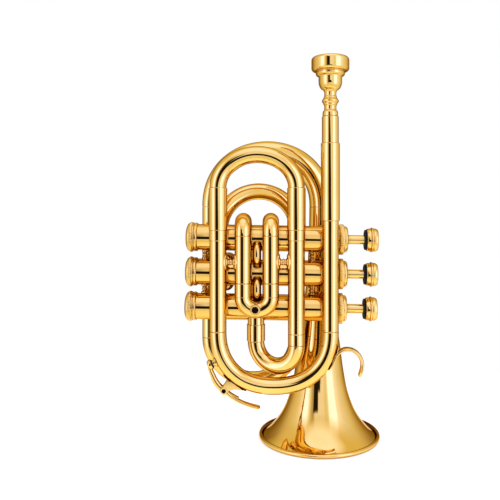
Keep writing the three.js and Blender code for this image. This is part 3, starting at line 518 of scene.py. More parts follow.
def make_polish_group():
    """Fine buffing lines and faint wiping marks: a roughness between two values, and a height."""
    tree, given, result = shader_group(
        "polish",
        [("Scale", "NodeSocketFloat", 400.0), ("Low", "NodeSocketFloat", 0.04),
         ("High", "NodeSocketFloat", 0.08)],
        [("Roughness", "NodeSocketFloat"), ("Height", "NodeSocketFloat")],
    )
    lines = noise_on_surface(tree, (1.0, 1.0, 0.08), given["Scale"], 4.0)
    wipes = noise_on_surface(tree, (0.06, 0.06, 0.03), given["Scale"], 2.0)
    marks = maths(tree, "MULTIPLY", lines, wipes)
    feed(tree, result["Roughness"], mapped(tree, marks, 0.12, 0.42, given["Low"], given["High"]))
    feed(tree, result["Height"], lines)
    return tree


TONE_AND_SHADE, POLISH = make_tone_and_shade_group(), make_polish_group()


# Materials

def start_material(name):
    material = bpy.data.materials.new(name)
    material.use_nodes = True
    return material, material.node_tree, material.node_tree.nodes["Principled BSDF"]


def plated(name, colour, deep, low, high, coat=0.0, scale=420.0, bump=0.02, edge=WHITE, spun=False):
    """A polished metal with drifting tone, painted shade where pieces lie close, and buffing lines or
    spinning's rings; coat is its lacquer.
    """
    material, tree, shader = start_material(name)
    # Painted shade: ambient occlusion finds where pieces lie close, and the tone group browns the colour
    # there
    near = add_node(tree, "ShaderNodeAmbientOcclusion", {"Distance": NEARNESS}, samples=8)
    crevice = [a * b for a, b in zip(deep, CREVICE_SHADE)]
    tone = placed(tree, TONE_AND_SHADE, colour=colour, deep_colour=deep, crevice_colour=crevice, scale=55.0,
                  share=0.55, openness=near.outputs["AO"])
    polish = placed(tree, POLISH, scale=scale, low=low, high=high)
    height = noise_on_surface(tree, (0.02, 0.02, 1.0), 900.0, 2.0) if spun else polish["Height"]
    dress(tree, shader, {
        "Base Color": tone["Colour"], "Roughness": polish["Roughness"], "Metallic": 1.0,
        "Specular Tint": edge, "Normal": bumped(tree, height, bump),
        "Coat Weight": coat, "Coat Roughness": 0.03, "Coat IOR": 1.5,
    })
    return material


BRASS, DEEP_BRASS, BRASS_EDGE = (0.88, 0.58, 0.145), (0.80, 0.49, 0.10), (0.70, 0.46, 0.18)
LACQUER = 0.2


def make_lacquered_brass():
    return plated("lacquered_brass", BRASS, DEEP_BRASS, low=0.025, high=0.06, coat=LACQUER, edge=BRASS_EDGE)


def make_casing_brass():
    """The casings are a shade deeper than the tubes."""
    return plated("casing_brass", (0.84, 0.52, 0.11), (0.74, 0.42, 0.07), low=0.025, high=0.06,
                  coat=LACQUER, edge=BRASS_EDGE)


def make_bell_brass():
    """The bell's brass, with the faint rings that spinning leaves."""
    return plated("bell_brass", (0.87, 0.57, 0.14), (0.78, 0.47, 0.09), low=0.02, high=0.055,
                  coat=LACQUER, edge=BRASS_EDGE, spun=True)


def make_knurled_brass():
    """Knurled brass, a little deeper in tone, with painted shade between its teeth."""
    return plated("knurled_brass", (0.88, 0.56, 0.12), (0.68, 0.39, 0.06), low=0.08, high=0.14,
                  coat=0.25, scale=700.0)


def make_satin_brass():
    """Brass that was brushed and never lacquered."""
    return plated("satin_brass", (0.82, 0.55, 0.16), (0.62, 0.38, 0.08), low=0.16, high=0.26,
                  edge=BRASS_EDGE)


def make_piston_metal():
    return plated("piston_metal", (0.62, 0.6, 0.56), (0.5, 0.48, 0.44), low=0.08, high=0.16, scale=500.0)


def make_spring_steel():
    return plated("spring_steel", (0.5, 0.49, 0.47), (0.36, 0.35, 0.33), low=0.2, high=0.35,
                  scale=900.0, bump=0.08)


def make_black_felt():
    """Dense felt: short crossing fibres in slightly different blacks."""
    material, tree, shader = start_material("black_felt")
    tone = placed(tree, TONE_AND_SHADE, colour=(0.005, 0.0045, 0.004), deep_colour=(0.014, 0.013, 0.012),
                  scale=1400.0, share=1.0)
    fibres = noise_on_surface(tree, (1.0, 1.0, 0.3), 2600.0, 6.0)
    dress(tree, shader, {
        "Base Color": tone["Colour"], "Roughness": mapped(tree, fibres, to_low=0.86),
        "Normal": bumped(tree, fibres, 0.6), "Specular IOR Level": 0.1, "Sheen Weight": 0.05,
    })
    return material


def make_shade():
    """Painted shade: a near-black that stands for the dark inside a small hole and at a screw's end, with a
    little grain.
    """
    material, tree, shader = start_material("shade")
    tone = placed(tree, TONE_AND_SHADE, colour=(0.004, 0.003, 0.002), deep_colour=(0.012, 0.008, 0.004),
                  scale=1200.0, share=1.0)
    dress(tree, shader, {"Base Color": tone["Colour"], "Roughness": 1.0, "Specular IOR Level": 0.0})
    return material


def make_cork():
    """Dark pressed cork, rougher toward the edges of its grains."""
    material, tree, shader = start_material("cork")
    tone = placed(tree, TONE_AND_SHADE, colour=(0.05, 0.034, 0.022), deep_colour=(0.014, 0.01, 0.008),
                  scale=900.0, share=1.0)
    place = tree.nodes.new("ShaderNodeTexCoord").outputs["Object"]
    voronoi = add_node(tree, "ShaderNodeTexVoronoi", {"Vector": place, "Scale": 1500.0})
    grains = voronoi.outputs["Distance"]
    dress(tree, shader, {
        "Base Color": tone["Colour"], "Roughness": mapped(tree, grains, to_low=0.7, to_high=0.95),
        "Normal": bumped(tree, grains, 0.5),
    })
    return material


FINISHES = {
    "lacquered_brass": make_lacquered_brass(),
    "bell_brass": make_bell_brass(),
    "knurled_brass": make_knurled_brass(),
    "piston_metal": make_piston_metal(),
    "spring_steel": make_spring_steel(),
    "black_felt": make_black_felt(),
    "cork": make_cork(),
}
CASING_BRASS, SATIN_BRASS, SHADE = make_casing_brass(), make_satin_brass(), make_shade()


# Pieces

def new_form():
    return bmesh.new()


def piece(name, form, body, finish, *nodes, material=None):
    """Makes a form a piece of the trumpet, in metres, on the body that carries it."""
    for vertex in form.verts:
        vertex.co = vertex.co * MM + SHIFT
    bmesh.ops.recalc_face_normals(form, faces=form.faces)
    mesh = bpy.data.meshes.new(name)
    form.to_mesh(mesh)
    form.free()
    mesh.shade_smooth()
    mesh.set_sharp_from_angle(angle=SHARP)
    mesh.materials.append(material or FINISHES[finish])
    made = bpy.data.objects.new(name, mesh)
    bpy.context.scene.collection.objects.link(made)
    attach(made, body)
    if nodes:
        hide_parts(*nodes)


def tube(name, x, depth, outer, inner, bottom, top):
    """A plain upright tube of the body."""
    form = new_form()
    ring(form, outer, inner, bottom, top, place=standing(x, depth))
    piece(name, form, "root", "lacquered_brass", name)


# The valves

CASING_POST = [
    (0, CASING_BORE + SEAT), (2.6, CASING_BORE + SEAT), (2.6, CASING + 0.8, 0.3), (1.3, CASING + 1.6, 0.6),
    (1.3, POST_MIDDLE - 1.0, 0.2), (2.1, POST_MIDDLE - 0.5, 0.3), (2.1, POST_MIDDLE + 0.5, 0.3),
    (1.3, POST_MIDDLE + 1.0, 0.2), (1.3, POST_END - 1.6, 0.6), (2.6, POST_END - 0.8, 0.3), (2.6, POST_END),
    (0, POST_END),
]


def make_casing(number):
    """A casing; the middle one carries the posts to the other two."""
    form, name = new_form(), f"valve_casing_{number}"
    ring(form, CASING, CASING_BORE, CASING_START, CASING_END, place=in_valve(number))
    if number == 2:
        for x in POST_PLACES:
            for way in (0, math.pi):
                place = BLOCK @ Matrix.Translation((x, 0, 0)) @ Matrix.Rotation(way, 4, "X")
                turn(form, CASING_POST, FINE_SIDES, place)
    piece(name, form, "root", "lacquered_brass", name, material=CASING_BRASS)


def make_bottom_cap(number):
    """A domed cap with a narrow knurled band and a rolled rim against the casing."""
    form, name, place = new_form(), f"bottom_cap_{number}", in_valve(number)
    start = CASING_START
    turn(form, [
        (0, start - 3.2), (7.4, start - 3.2, 2.2), (10.2, start - 1.8, 1.4), (10.9, start - 0.5, 0.2),
        (10.5, start - 0.3), (10.5, start + 1.6), (10.9, start + 1.8, 0.2), (10.9, start + 2.7, 0.4),
        (10.1, start + 3.0, 0.1), (10.1, start + 3.3, 0.1), (10.9, start + 3.6, 0.3),
        (10.9, start + 4.8, 0.5), (10.4, start + 5.5, 0.3), (CASING + SEAT, start + 5.5),
        (CASING + SEAT, start), (0, start),
    ], place=place)
    knurl(form, BOTTOM_KNURL, start - 0.4, start + 1.7, 0.3, place)
    piece(name, form, "root", "knurled_brass", name)


def make_top_cap(number):
    """A knurled ring with a rounded collar, and the hole that the stem runs in."""
    form, name, place = new_form(), f"top_cap_{number}", in_valve(number)
    start, end, hole = CASING_END, CAP_END, STEM + 0.4
    turn(form, [
        (hole, start), (10.9, start), (10.9, start + 3.6), (10.0, start + 3.9, 0.2), (10.0, end - 1.1, 0.6),
        (9.0, end, 0.7), (hole + 0.6, end, 0.3), (hole, end - 0.5),
    ], place=place)
    knurl(form, TOP_KNURL, start + 0.05, start + 3.7, 0.5, place)
    piece(name, form, "root", "knurled_brass", name)


def make_stem_and_button(number):
    """The stem over the piston's own, the felt and the button that the player presses."""
    body, place, raised = f"valve_{number}", in_valve(number), CAP_END + STROKE
    stem = new_form()
    rod(stem, STEM + 0.03, CASING_END - SEAT, raised + FELT, place=place)
    piece(f"valve_stem_{number}", stem, body, "lacquered_brass")
    washer = new_form()
    ring(washer, FELT_RADIUS, STEM + 0.2, raised + 0.1, raised + FELT + 0.8, 0.35, place=place)
    piece(f"button_felt_{number}", washer, body, "black_felt", f"button_felt_{number}")
    cap, start = new_form(), raised + FELT + SEAT
    turn(cap, [
        (0, start + 0.8), (7.8, start + 0.8), (7.8, start), (8.2, start - 0.1, 0.1), (8.6, start + 1.1, 0.5),
        (8.7, start + 2.6, 0.4), (8.5, start + 2.9, 0.1), (9.4, start + 3.2, 0.4), (9.4, start + 4.3, 0.4),
        (8.6, start + 4.6, 0.1), (8.8, start + 5.0, 0.3), (8.7, start + 6.9, 0.9), (7.6, start + 8.4, 0.8),
        (6.7, start + 8.4, 0.5), (6.2, start + 7.7, 0.4), (0, start + 7.6),
    ], place=place)
    piece(f"finger_button_{number}", cap, body, "lacquered_brass", f"finger_button_{number}")


def make_valves():
    for number in (1, 2, 3):
        make_casing(number)
        make_bottom_cap(number)
        make_top_cap(number)
        make_stem_and_button(number)


# The near loop

def make_near_loop():
    """Receiver, leadpipe, bottom bow and the two tubes that carry the tuning slide."""
    for name, outer, inner, bottom, top in (
        ("mouthpiece_receiver", RECEIVER, RECEIVER_BORE, LEAD_SLEEVE_TOP, LEAD_TOP),
        ("leadpipe_sleeve", LEAD_SLEEVE, LEAD_BORE, LEAD_SLEEVE_FOOT, LEAD_SLEEVE_TOP),
        ("leadpipe", LEADPIPE, LEAD_BORE, BOW_START, LEAD_SLEEVE_FOOT),
    ):
        tube(name, LEAD_X, NEAR_DEPTH, outer, inner, bottom, top)
    form = new_form()
    sweep(form, evenly(BOTTOM_LINE, 120), TUBE)
    piece("bottom_bow", form, "root", "lacquered_brass", "bottom_bow")
    for side, x, foot in (("left", LEG_LEFT, BOW_START), ("right", LEG_RIGHT, ENTRY_START)):
        make_tuning_sleeve(f"tuning_sleeve_{side}", x)
        make_near_tube(f"near_tube_{side}", x, foot)


def make_tuning_sleeve(name, x):
    """A sleeve that the slide's leg runs in, with the ferrule under it."""
    form, step = new_form(), SLEEVE_FOOT + WALL
    turn(form, [
        (BORE, FERRULE_FOOT), (FERRULE, FERRULE_FOOT, GROOVE), (FERRULE, SLEEVE_FOOT - 0.1, GROOVE),
        (FERRULE - 0.3, SLEEVE_FOOT), (SLEEVE, SLEEVE_FOOT, GROOVE), (SLEEVE, SLEEVE_TOP, GROOVE),
        (TUBE + SEAT, SLEEVE_TOP), (TUBE + SEAT, step), (BORE, step),
    ], place=standing(x, NEAR_DEPTH))
    piece(name, form, "root", "lacquered_brass", name)


def make_near_tube(name, x, foot):
    """The tube from a bow up to the ferrule, with a joint line at the seam if the foot lies lower."""
    form, seam, place = new_form(), max(foot, LEG_SEAM), standing(x, NEAR_DEPTH)
    ring(form, TUBE, BORE, seam + SEAM / 2, FERRULE_FOOT, place=place)
    if seam > foot:
        top = seam - SEAM / 2
        turn(form, [(BORE, foot), (TUBE, foot), (TUBE, top, GROOVE), (BORE, top)], place=place)
    piece(name, form, "root", "lacquered_brass", name)


def slide(line, radius, collar, collar_end, leg_end):
    """A bow on two collars, with two legs that run in the sleeves."""
    form, bow_end = new_form(), line[0].z
    sweep(form, evenly(line, 72), collar, groove=0)
    for foot in (line[0], line[-1]):
        place = standing(foot.x, foot.y)
        ring(form, radius, radius - WALL, *sorted((collar_end, leg_end)), place=place)
        if abs(collar_end - bow_end) > SEAM:
            ring(form, collar, radius - WALL, *sorted((bow_end, collar_end)), place=place)
    return form


def make_tuning_slide():
    top = SLEEVE_TOP + SEAT
    line = level_bow(LEG_LEFT, LEG_RIGHT, NEAR_DEPTH, top, TUNING_RISE)
    form = slide(line, TUBE, TUBE, top, SLEEVE_TOP - TUNING_LEG)
    piece("tuning_slide", form, "main_slide", "lacquered_brass", "tuning_slide")


def make_entry():
    """The small bow that turns up into the third valve, and its sleeve."""
    form, end = new_form(), ENTRY_START - SEAM
    line = bow((LEG_RIGHT, NEAR_DEPTH, end), (ENTRY_X, ENTRY_DEPTH, end), -ENTRY_DROP)
    sweep(form, evenly(line, 72), TUBE)
    piece("entry_bow", form, "root", "lacquered_brass", "entry_bow")
    sleeve, place = new_form(), standing(ENTRY_X, ENTRY_DEPTH)
    ring(sleeve, SLEEVE, BORE, ENTRY_START, ENTRY_TOP, place=place)
    ring(sleeve, TUBE, BORE, ENTRY_TOP - ENTRY_LAP, valve_height(3) - ENTRY_STOP, place=place)
    piece("entry_sleeve", sleeve, "root", "lacquered_brass", "entry_sleeve")


# The valve slides

SLIDE_SIDES = (("left", SLIDE_LEFT), ("right", SLIDE_RIGHT))


def make_first_slide():
    """The U in front of the block, with knuckles that go over the first valve."""
    for side, x in SLIDE_SIDES:
        form, name = new_form(), f"first_sleeve_{side}"
        ring(form, SLIDE_OUTER, SLIDE_INNER + SEAT, FIRST_SLEEVE_FOOT, KNUCKLE_SEAM,
             place=standing(x, FIRST_DEPTH))
        over = bow((x, FIRST_DEPTH, FIRST_ELBOW), (x, FIRST_ELBOW_DEPTH, FIRST_ELBOW), FIRST_ELBOW_RISE)
        lead = Vector((x, FIRST_DEPTH, KNUCKLE_SEAM + SEAM / 2))
        sweep(form, [lead, *evenly(over, 40)], SLIDE_OUTER, side=SIDEWAYS)
        piece(name, form, "root", "lacquered_brass", name)
    line = level_bow(SLIDE_LEFT, SLIDE_RIGHT, FIRST_DEPTH, FIRST_FERRULE_FOOT, -FIRST_DROP)
    form = slide(line, SLIDE_INNER, SLIDE_OUTER, FIRST_SLEEVE_FOOT - SEAT, FIRST_SLEEVE_FOOT + FIRST_LEG)
    piece("first_slide", form, "slide_1", "lacquered_brass", "first_slide")
    make_drain()


def make_drain():
    """The small round outlet on the first slide's bow: a stepped ring round a near-black plug of painted
    shade that stands for its hole.
    """
    place, top = facing(DRAIN_X, FIRST_DEPTH, DRAIN_HEIGHT, -AWAY), SLIDE_OUTER
    nipple = new_form()
    turn(nipple, [
        (DRAIN_BORE, 0.0), (3.9, 0.0), (3.9, top - 0.3, 0.2), (3.3, top + 0.5, 0.4), (2.8, top + 0.9, 0.2),
        (DRAIN_BORE, top + 0.9, 0.1),
    ], TUBE_SIDES, place)
    piece("first_slide_drain", nipple, "slide_1", "lacquered_brass", material=SATIN_BRASS)
    # Painted shade: the hole is a solid plug in the near-black shade finish
    plug = new_form()
    rod(plug, DRAIN_BORE + 0.02, 0.0, top + 0.6, 0.1, FINE_SIDES, place)
    piece("first_slide_drain_hole", plug, "slide_1", "lacquered_brass", material=SHADE)


def make_third_slide():
    """The same U behind the block, standing up."""
    depth, height = -FIRST_DEPTH, valve_height(3)
    for side, x in SLIDE_SIDES:
        form, name = new_form(), f"third_sleeve_{side}"
        sweep(form, bend((x, 0, height), depth, THIRD_RISE), SLIDE_OUTER, side=SIDEWAYS)
        ring(form, SLIDE_OUTER, SLIDE_INNER + SEAT, height + THIRD_RISE, THIRD_SLEEVE_TOP,
             place=standing(x, depth))
        piece(name, form, "root", "lacquered_brass", name)
    line = level_bow(SLIDE_LEFT, SLIDE_RIGHT, depth, THIRD_FERRULE_TOP, FIRST_DROP)
    form = slide(line, SLIDE_INNER, SLIDE_OUTER, THIRD_SLEEVE_TOP + SEAT, THIRD_SLEEVE_TOP - THIRD_LEG)
    piece("third_slide", form, "slide_3", "lacquered_brass", "third_slide")


def make_second_slide():
    """A short U that points away behind the block."""
    end, half = CASING + SECOND_SLEEVE, SECOND_SPAN / 2
    collar, start = end + SEAT, end + SEAT + SECOND_FERRULE

    def legs():
        for side, rise in (("upper", half), ("lower", -half)):
            yield f"second_sleeve_{side}", facing(SECOND_X, 0, valve_height(2) + rise, AWAY)

    bore = SECOND_INNER + SEAT
    for name, place in legs():
        form = new_form()
        ring(form, SECOND_OUTER, bore, SECOND_START, end, place=place)
        ring(form, SECOND_OUTER + SECOND_BAND, bore, end - SECOND_BAND_LENGTH, end, 0.4, place=place)
        turn(form, [
            (0, 0.8), (3.6, 1.1, 1.5), (SECOND_OUTER, 3.0, 1.2), (SECOND_OUTER, SECOND_START + 0.3),
            (0, SECOND_START + 0.3),
        ], place=place)
        piece(name, form, "root", "lacquered_brass", name)
    form = new_form()
    upright = bow((0, -half, start), (0, half, start), SECOND_RISE)
    line = [Vector((SECOND_X, p.z, valve_height(2) - p.y)) for p in upright]
    sweep(form, evenly(line, 60), SECOND_OUTER, groove=0, side=SIDEWAYS)
    for _, place in legs():
        ring(form, SECOND_OUTER, SECOND_INNER - WALL, collar, start, place=place)
        ring(form, SECOND_INNER, SECOND_INNER - WALL, end - SECOND_LEG, collar, place=place)
    piece("second_slide", form, "slide_2", "lacquered_brass", "second_slide")


# The far coil and the bell

def make_coil():
    """Out of the first valve, over, down, under and up, and round to the bell."""
    arch_foot, low_top, high_foot = ARCH_START + SEAM, LOW_START - SEAM, HIGH_START + SEAM
    arch = bow((ARCH_RIGHT, COIL_DEPTH, arch_foot), (ARCH_LEFT, ARCH_DEPTH, arch_foot), ARCH_RISE)
    low = level_bow(ARCH_RIGHT, UP_X, COIL_DEPTH, low_top, -LOW_DROP)
    high = bow((UP_X, COIL_DEPTH, high_foot), (BELL_X + BELL_LEAN, BELL_DEPTH, high_foot),
               HIGH_RISE, HIGH_SQUARENESS, 240)
    for name, line, end in (("coil_arch", arch, TUBE), ("coil_low_bow", low, TUBE), ("bell_bow", high, TAIL)):
        form, steps = new_form(), 100
        sweep(form, evenly(line, steps), [TUBE + (end - TUBE) * i / steps for i in range(steps + 1)])
        piece(name, form, "root", "lacquered_brass", name)
    tube("coil_down_tube", ARCH_RIGHT, COIL_DEPTH, TUBE, BORE, LOW_START, ARCH_START)
    tube("coil_up_tube", UP_X, COIL_DEPTH, TUBE, BORE, LOW_START, HIGH_START)


def lean_at(height):
    """How far the bell leans aside at a height: nothing in its lowest third."""
    share = min(max((height - BELL_HEIGHT / 3) / (BELL_HEIGHT * 2 / 3), 0.0), 1.0)
    return BELL_LEAN * share * share * (3 - 2 * share)


def bell_line():
    """The bell's outside, from the bead up to the tail."""
    points = [(RIM - BEAD, BEAD)] + [(out * RIM, up * BELL_HEIGHT) for up, out in FLARE_SHARES]
    return curve_through([(x, 0, z) for x, z in [*points, (TAIL, BELL_HEIGHT)]], 10)


def make_bell():
    """The flare with its rolled rim, turned upright and then leaned."""
    outer = bell_line()
    inner = []
    for point, tangent in zip(outer, tangents(outer)):
        inner.append((point.x - BELL_WALL * tangent.z, min(point.z + BELL_WALL * tangent.x, BELL_HEIGHT)))
    inner[-1] = (TAIL - BELL_WALL, BELL_HEIGHT)
    bead = []
    for i in range(17):
        angle = math.radians(-90 + 180 * i / 16)
        bead.append((RIM - BEAD + BEAD * math.cos(angle), BEAD * (1 + math.sin(angle))))
    form = new_form()
    turn(form, [
        (RIM - 2 * BEAD, 0.25), *bead, (RIM - BEAD - 0.6, 2 * BEAD - 0.1), *[(p.x, p.z) for p in outer[3:-1]],
        (TAIL, BELL_HEIGHT - 0.3), (TAIL - 0.3, BELL_HEIGHT), *reversed(inner[2:]),
    ], BELL_SIDES)
    for vertex in form.verts:
        vertex.co.x += BELL_X + lean_at(vertex.co.z)
        vertex.co.y += BELL_DEPTH
    piece("bell", form, "root", "bell_brass", "bell")


# The mouthpiece

def make_mouthpiece():
    """Turned from one bar: up its outside from the shank to the rim, then down the cup and the bore."""
    form = new_form()
    turn(form, [
        (4.6, -67.4, 0.3), (5.1, -43.4), (5.7, -43.4, 0.2), (5.7, -40.7, 0.3), (5.4, -39.7, 0.7),
        (4.5, -38.9, 0.6), (4.45, -35.7, 0.4), (5, -35, 0.2), (5.2, -34, 0.2), (6.2, -32.9, 0.5),
        (6.2, -31.7, 0.5), (5.1, -30.3, 0.2), (4.9, -29.3, 0.2), (4.45, -28.6, 0.5), (4.45, -25.7, 0.5),
        (4.9, -25, 0.3), (5.3, -24.3, 0.8), (7.3, -23, 1.6), (8.65, -19.9, 2.4), (8.7, -14.3, 0.6),
        (10.4, -13.5, 0.6), (10.9, -12.1, 0.8), (10.5, -10.7, 0.6), (12.8, -10.3, 0.5), (13.9, -9.1, 1),
        (13.9, -1.5, 1), (12.4, 0, 1.6), (9.6, 0, 0.9), (8.6, -1.1, 0.8), (8.4, -5.3, 2.5), (6.2, -9.9, 3),
        (2.4, -11.9, 0.8), (1.85, -12.9, 0.6), (1.85, -25.3), (3.6, -67.4, 0.2),
    ], 96, standing(LEAD_X, NEAR_DEPTH, MOUTHPIECE_TOP), 6)
    piece("mouthpiece", form, "mouthpiece_piece", "lacquered_brass", "mouthpiece")


# What is soldered to the bottom bow

def hug_bow(form, first, step, count, lift, width, narrow, thickness, thin):
    """A plate along the bottom bow, from a first share of its sweep, narrower and thinner at its ends."""
    path = [beside_bow(first + step * i, TUBE + lift) for i in range(count)]
    ends = [min(1.0, 0.3 + 0.14 * min(i, count - 1 - i)) for i in range(count)]
    widths = [width * (narrow + (1 - narrow) * t) for t in ends]
    strap(form, path, widths, [thickness * (thin + (1 - thin) * t) for t in ends])


def make_finger_hook():
    """A bent strip for the little finger, on a foot that hugs the bow."""
    line = curve_through([(x, NEAR_DEPTH, z) for x, z in HOOK_LINE], 8)
    count = len(line)
    tip = [math.sqrt(1 - max(0.0, 1 - (count - 1 - i) / 6) ** 2) for i in range(count)]
    widths = [HOOK_WIDTH * max(t, 0.1) for t in tip]
    form = new_form()
    strap(form, line, widths, [HOOK_THICKNESS * (0.35 + 0.65 * t) for t in tip])
    hug_bow(form, first=0.805, step=0.0037, count=36, lift=0.45, width=HOOK_WIDTH, narrow=0.5,
            thickness=1.2, thin=0.4)
    piece("finger_hook", form, "root", "lacquered_brass", "finger_hook")


def on_pad():
    """Places a form on the bottom bow at the water key's pad, pointing out."""
    seat = beside_bow(PAD_SHARE, 0.0)
    return facing(*seat, beside_bow(PAD_SHARE, 1.0) - seat)


def on_pivot(depth=0.0):
    """Places a form on the water key's pin, at a depth from its middle."""
    return facing(PIVOT_X, NEAR_DEPTH + depth, PIVOT_HEIGHT, AWAY)


def make_water_key():
    """The nipple and saddle on the bow; the lever with its cork turns on a pin."""
    nipple = new_form()
    ring(nipple, NIPPLE, NIPPLE_BORE, TUBE - 0.6, CORK_FOOT - SEAT, 0.3, SMALL_SIDES, on_pad())
    ring(nipple, NIPPLE_FOOT, NIPPLE_BORE + 0.05, TUBE - WALL, TUBE + 0.55, 0.35, SMALL_SIDES, on_pad())
    piece("water_key_nipple", nipple, "root", "lacquered_brass", "water_key_nipple")
    cork = new_form()
    rod(cork, CORK, CORK_FOOT, CORK_TOP, 0.3, SMALL_SIDES, on_pad())
    piece("water_key_cork", cork, "water_key", "cork", "water_key_cork")
    make_lever()
    make_saddle()
    # Painted shade: the pin takes the near-black shade finish, which stands for the dark of its eye
    pin = new_form()
    rod(pin, PIN, -PIN_HALF, PIN_HALF, 0.25, FINE_SIDES, on_pivot())
    piece("water_key_pin", pin, "root", "piston_metal", "water_key_pin", material=SHADE)


def make_lever():
    """Cork cup, arm, hinge eye, the plate over the spring and the touch, in one."""
    form = new_form()
    start = beside_bow(PAD_SHARE, CORK_TOP + 1.5)
    # The thickness stands in for the depth until the line is smooth
    line = curve_through([(start.x, 2.6, start.z)] + [(x, thick, z) for x, z, thick in LEVER_LINE], 10)
    last = len(line) - 1
    widths, thicknesses = [], []
    for i, point in enumerate(line):
        end = min(1.0, 0.45 + 0.2 * min(i, last - i))
        wider = TOUCH_WIDER * max(0.0, i / last - TOUCH_SHARE) / (1 - TOUCH_SHARE)
        widths.append((KEY_WIDTH + wider) * end)
        thicknesses.append(point.y * end)
    strap(form, [Vector((p.x, NEAR_DEPTH, p.z)) for p in line], widths, thicknesses)
    turn(form, [
        (0, CORK_TOP + SEAT), (3.1, CORK_TOP + SEAT), (3.1, CORK_TOP - 0.8), (3.7, CORK_TOP - 0.8, 0.2),
        (3.7, CORK_TOP + 1.15, 0.5), (2.6, CORK_TOP + 2.35, 0.8), (0, CORK_TOP + 2.45),
    ], SMALL_SIDES, on_pad())
    ring(form, EYE, EYE_BORE, -KEY_WIDTH / 2, KEY_WIDTH / 2, 0.25, SMALL_SIDES, on_pivot())
    plate = curve_through([(x, NEAR_DEPTH, z) for x, z in SPRING_PLATE], 6)
    strap(form, plate, [KEY_WIDTH - 0.6] * len(plate), [PLATE_THICKNESS] * len(plate))
    piece("water_key_lever", form, "water_key", "lacquered_brass", "water_key_lever")


def make_saddle():
    """Two lugs either side of the lever, on the bow, with the pin's eyes."""
    form = new_form()
    for side in (-1, 1):
        depth = side * (KEY_WIDTH / 2 + SEAT + LUG_GAP)
        slab(form, LUG, NEAR_DEPTH + depth, LUG_THICKNESS)
        turn(form, [
            (EYE_BORE, -0.85), (2.5, -0.85), (2.8, -0.4), (2.8, 0.4), (2.5, 0.85), (EYE_BORE, 0.85),
        ], SMALL_SIDES, on_pivot(depth))
    hug_bow(form, first=0.225, step=0.005, count=30, lift=0.25, width=7.0, narrow=0.6, thickness=0.9, thin=0)
    piece("water_key_saddle", form, "root", "lacquered_brass", "water_key_saddle")


# Braces

def oval_foot(form, x, depth, radius, way):
    """An oval plate that hugs an upright tube, on the side that way points to."""
    def oval(share, reach):
        count = TUBE_SIDES if share else 1
        points = []
        for i in range(count):
            turned = 2 * math.pi * i / count
            angle = share * FOOT_ACROSS * math.cos(turned) / radius
            points.append(form.verts.new((
                x + way * reach * math.cos(angle),
                depth + reach * math.sin(angle),
                BRACE_HEIGHT + share * FOOT_UP * math.sin(turned),
            )))
        return points

    rings = []
    for share in (0.0, 0.35, 0.65, 0.85, 0.95, 1.0):
        rings.append(oval(share, radius + FOOT_THICKNESS * (1 - share ** 8) ** 0.5))
    back = oval(1.0, radius - FOOT_SUNK)
    for first, second in zip(rings, [*rings[1:], back]):
        bridge(form, first, second)
    form.faces.new(back)


def make_spool(name, left, right):
    """A spool between two upright tubes, each given by place, depth and radius, with oval feet."""
    start, end = left[0] + left[2], right[0] - right[2]
    middle = (start + end) / 2
    form = new_form()
    turn(form, [
        (0, start - 1.5), (3.4, start - 1.5), (3.4, start + 0.7, 0.5), (1.9, start + 1.5, 0.8),
        (1.9, middle - 0.7, 0.2), (2.5, middle - 0.4, 0.3), (2.5, middle + 0.4, 0.3),
        (1.9, middle + 0.7, 0.2), (1.9, end - 1.5, 0.8), (3.4, end - 0.7, 0.5), (3.4, end + 1.5),
        (0, end + 1.5),
    ], TUBE_SIDES, facing(0, (NEAR_DEPTH + FIRST_DEPTH) / 2, BRACE_HEIGHT, SIDEWAYS))
    oval_foot(form, *left, 1)
    oval_foot(form, *right, -1)
    piece(name, form, "root", "lacquered_brass", name)


def make_casing_link(number):
    """A bowed link that leaves one casing's front and enters the next."""
    form, name = new_form(), f"casing_link_{number}"
    x, height = (SLIDE_LEFT + SLIDE_RIGHT) / 2, valve_height(number) - LINK_DROP
    upright = bow((0, -LINK_HALF, 0), (0, LINK_HALF, 0), LINK_REACH, LINK_SQUARENESS, 48)
    line = [Vector((x, -p.z, height - p.y)) for p in upright]
    sweep(form, line, LINK_RADIUS, groove=0, side=SIDEWAYS)
    piece(name, form, "root", "lacquered_brass", name)


def make_bell_brace(name, number):
    """A post from a casing's back to the bell, with a small foot at both ends."""
    height = valve_height(number)
    radius = max(p.x for p in bell_line() if p.z > height - 3)
    start, end = CASING - 0.6, BELL_DEPTH - radius + 0.6
    form = new_form()
    turn(form, [
        (0, start), (3.6, start), (3.6, start + 1.3, 0.4), (2.0, start + 2.0, 0.5), (2.0, end - 2.0, 0.5),
        (3.6, end - 1.3, 0.4), (3.6, end), (0, end),
    ], TUBE_SIDES, facing(BELL_X, 0, height, AWAY))
    piece(name, form, "root", "lacquered_brass", name)


def make_braces():
    first_left, first_right = [(x, FIRST_DEPTH, SLIDE_OUTER) for x in (SLIDE_LEFT, SLIDE_RIGHT)]
    make_spool("brace_left", (LEG_LEFT, NEAR_DEPTH, TUBE), first_left)
    make_spool("brace_right", first_right, (LEG_RIGHT, NEAR_DEPTH, TUBE))
    for number in (1, 2):
        make_casing_link(number)
    make_bell_brace("bell_brace_upper", 1)
    make_bell_brace("bell_brace_lower", 3)


def finish_inner_nodes():
    """The pistons and springs keep the CAD's own shapes, inside the casings."""
    for number in (1, 2, 3):
        for kind, finish in (("piston", "piston_metal"), ("valve_spring", "spring_steel")):
            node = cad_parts[f"{kind}_{number}"]
            node.data.materials.clear()
            node.data.materials.append(FINISHES[finish])


# The camera looks level, and its shift brings the whole trumpet into the picture

CAMERA_PLACE = (0.0, -468.0, 184.5)
SENSOR, LENS = 36.0, 44.2
SHIFT_ACROSS, SHIFT_UP = -0.054, -0.084


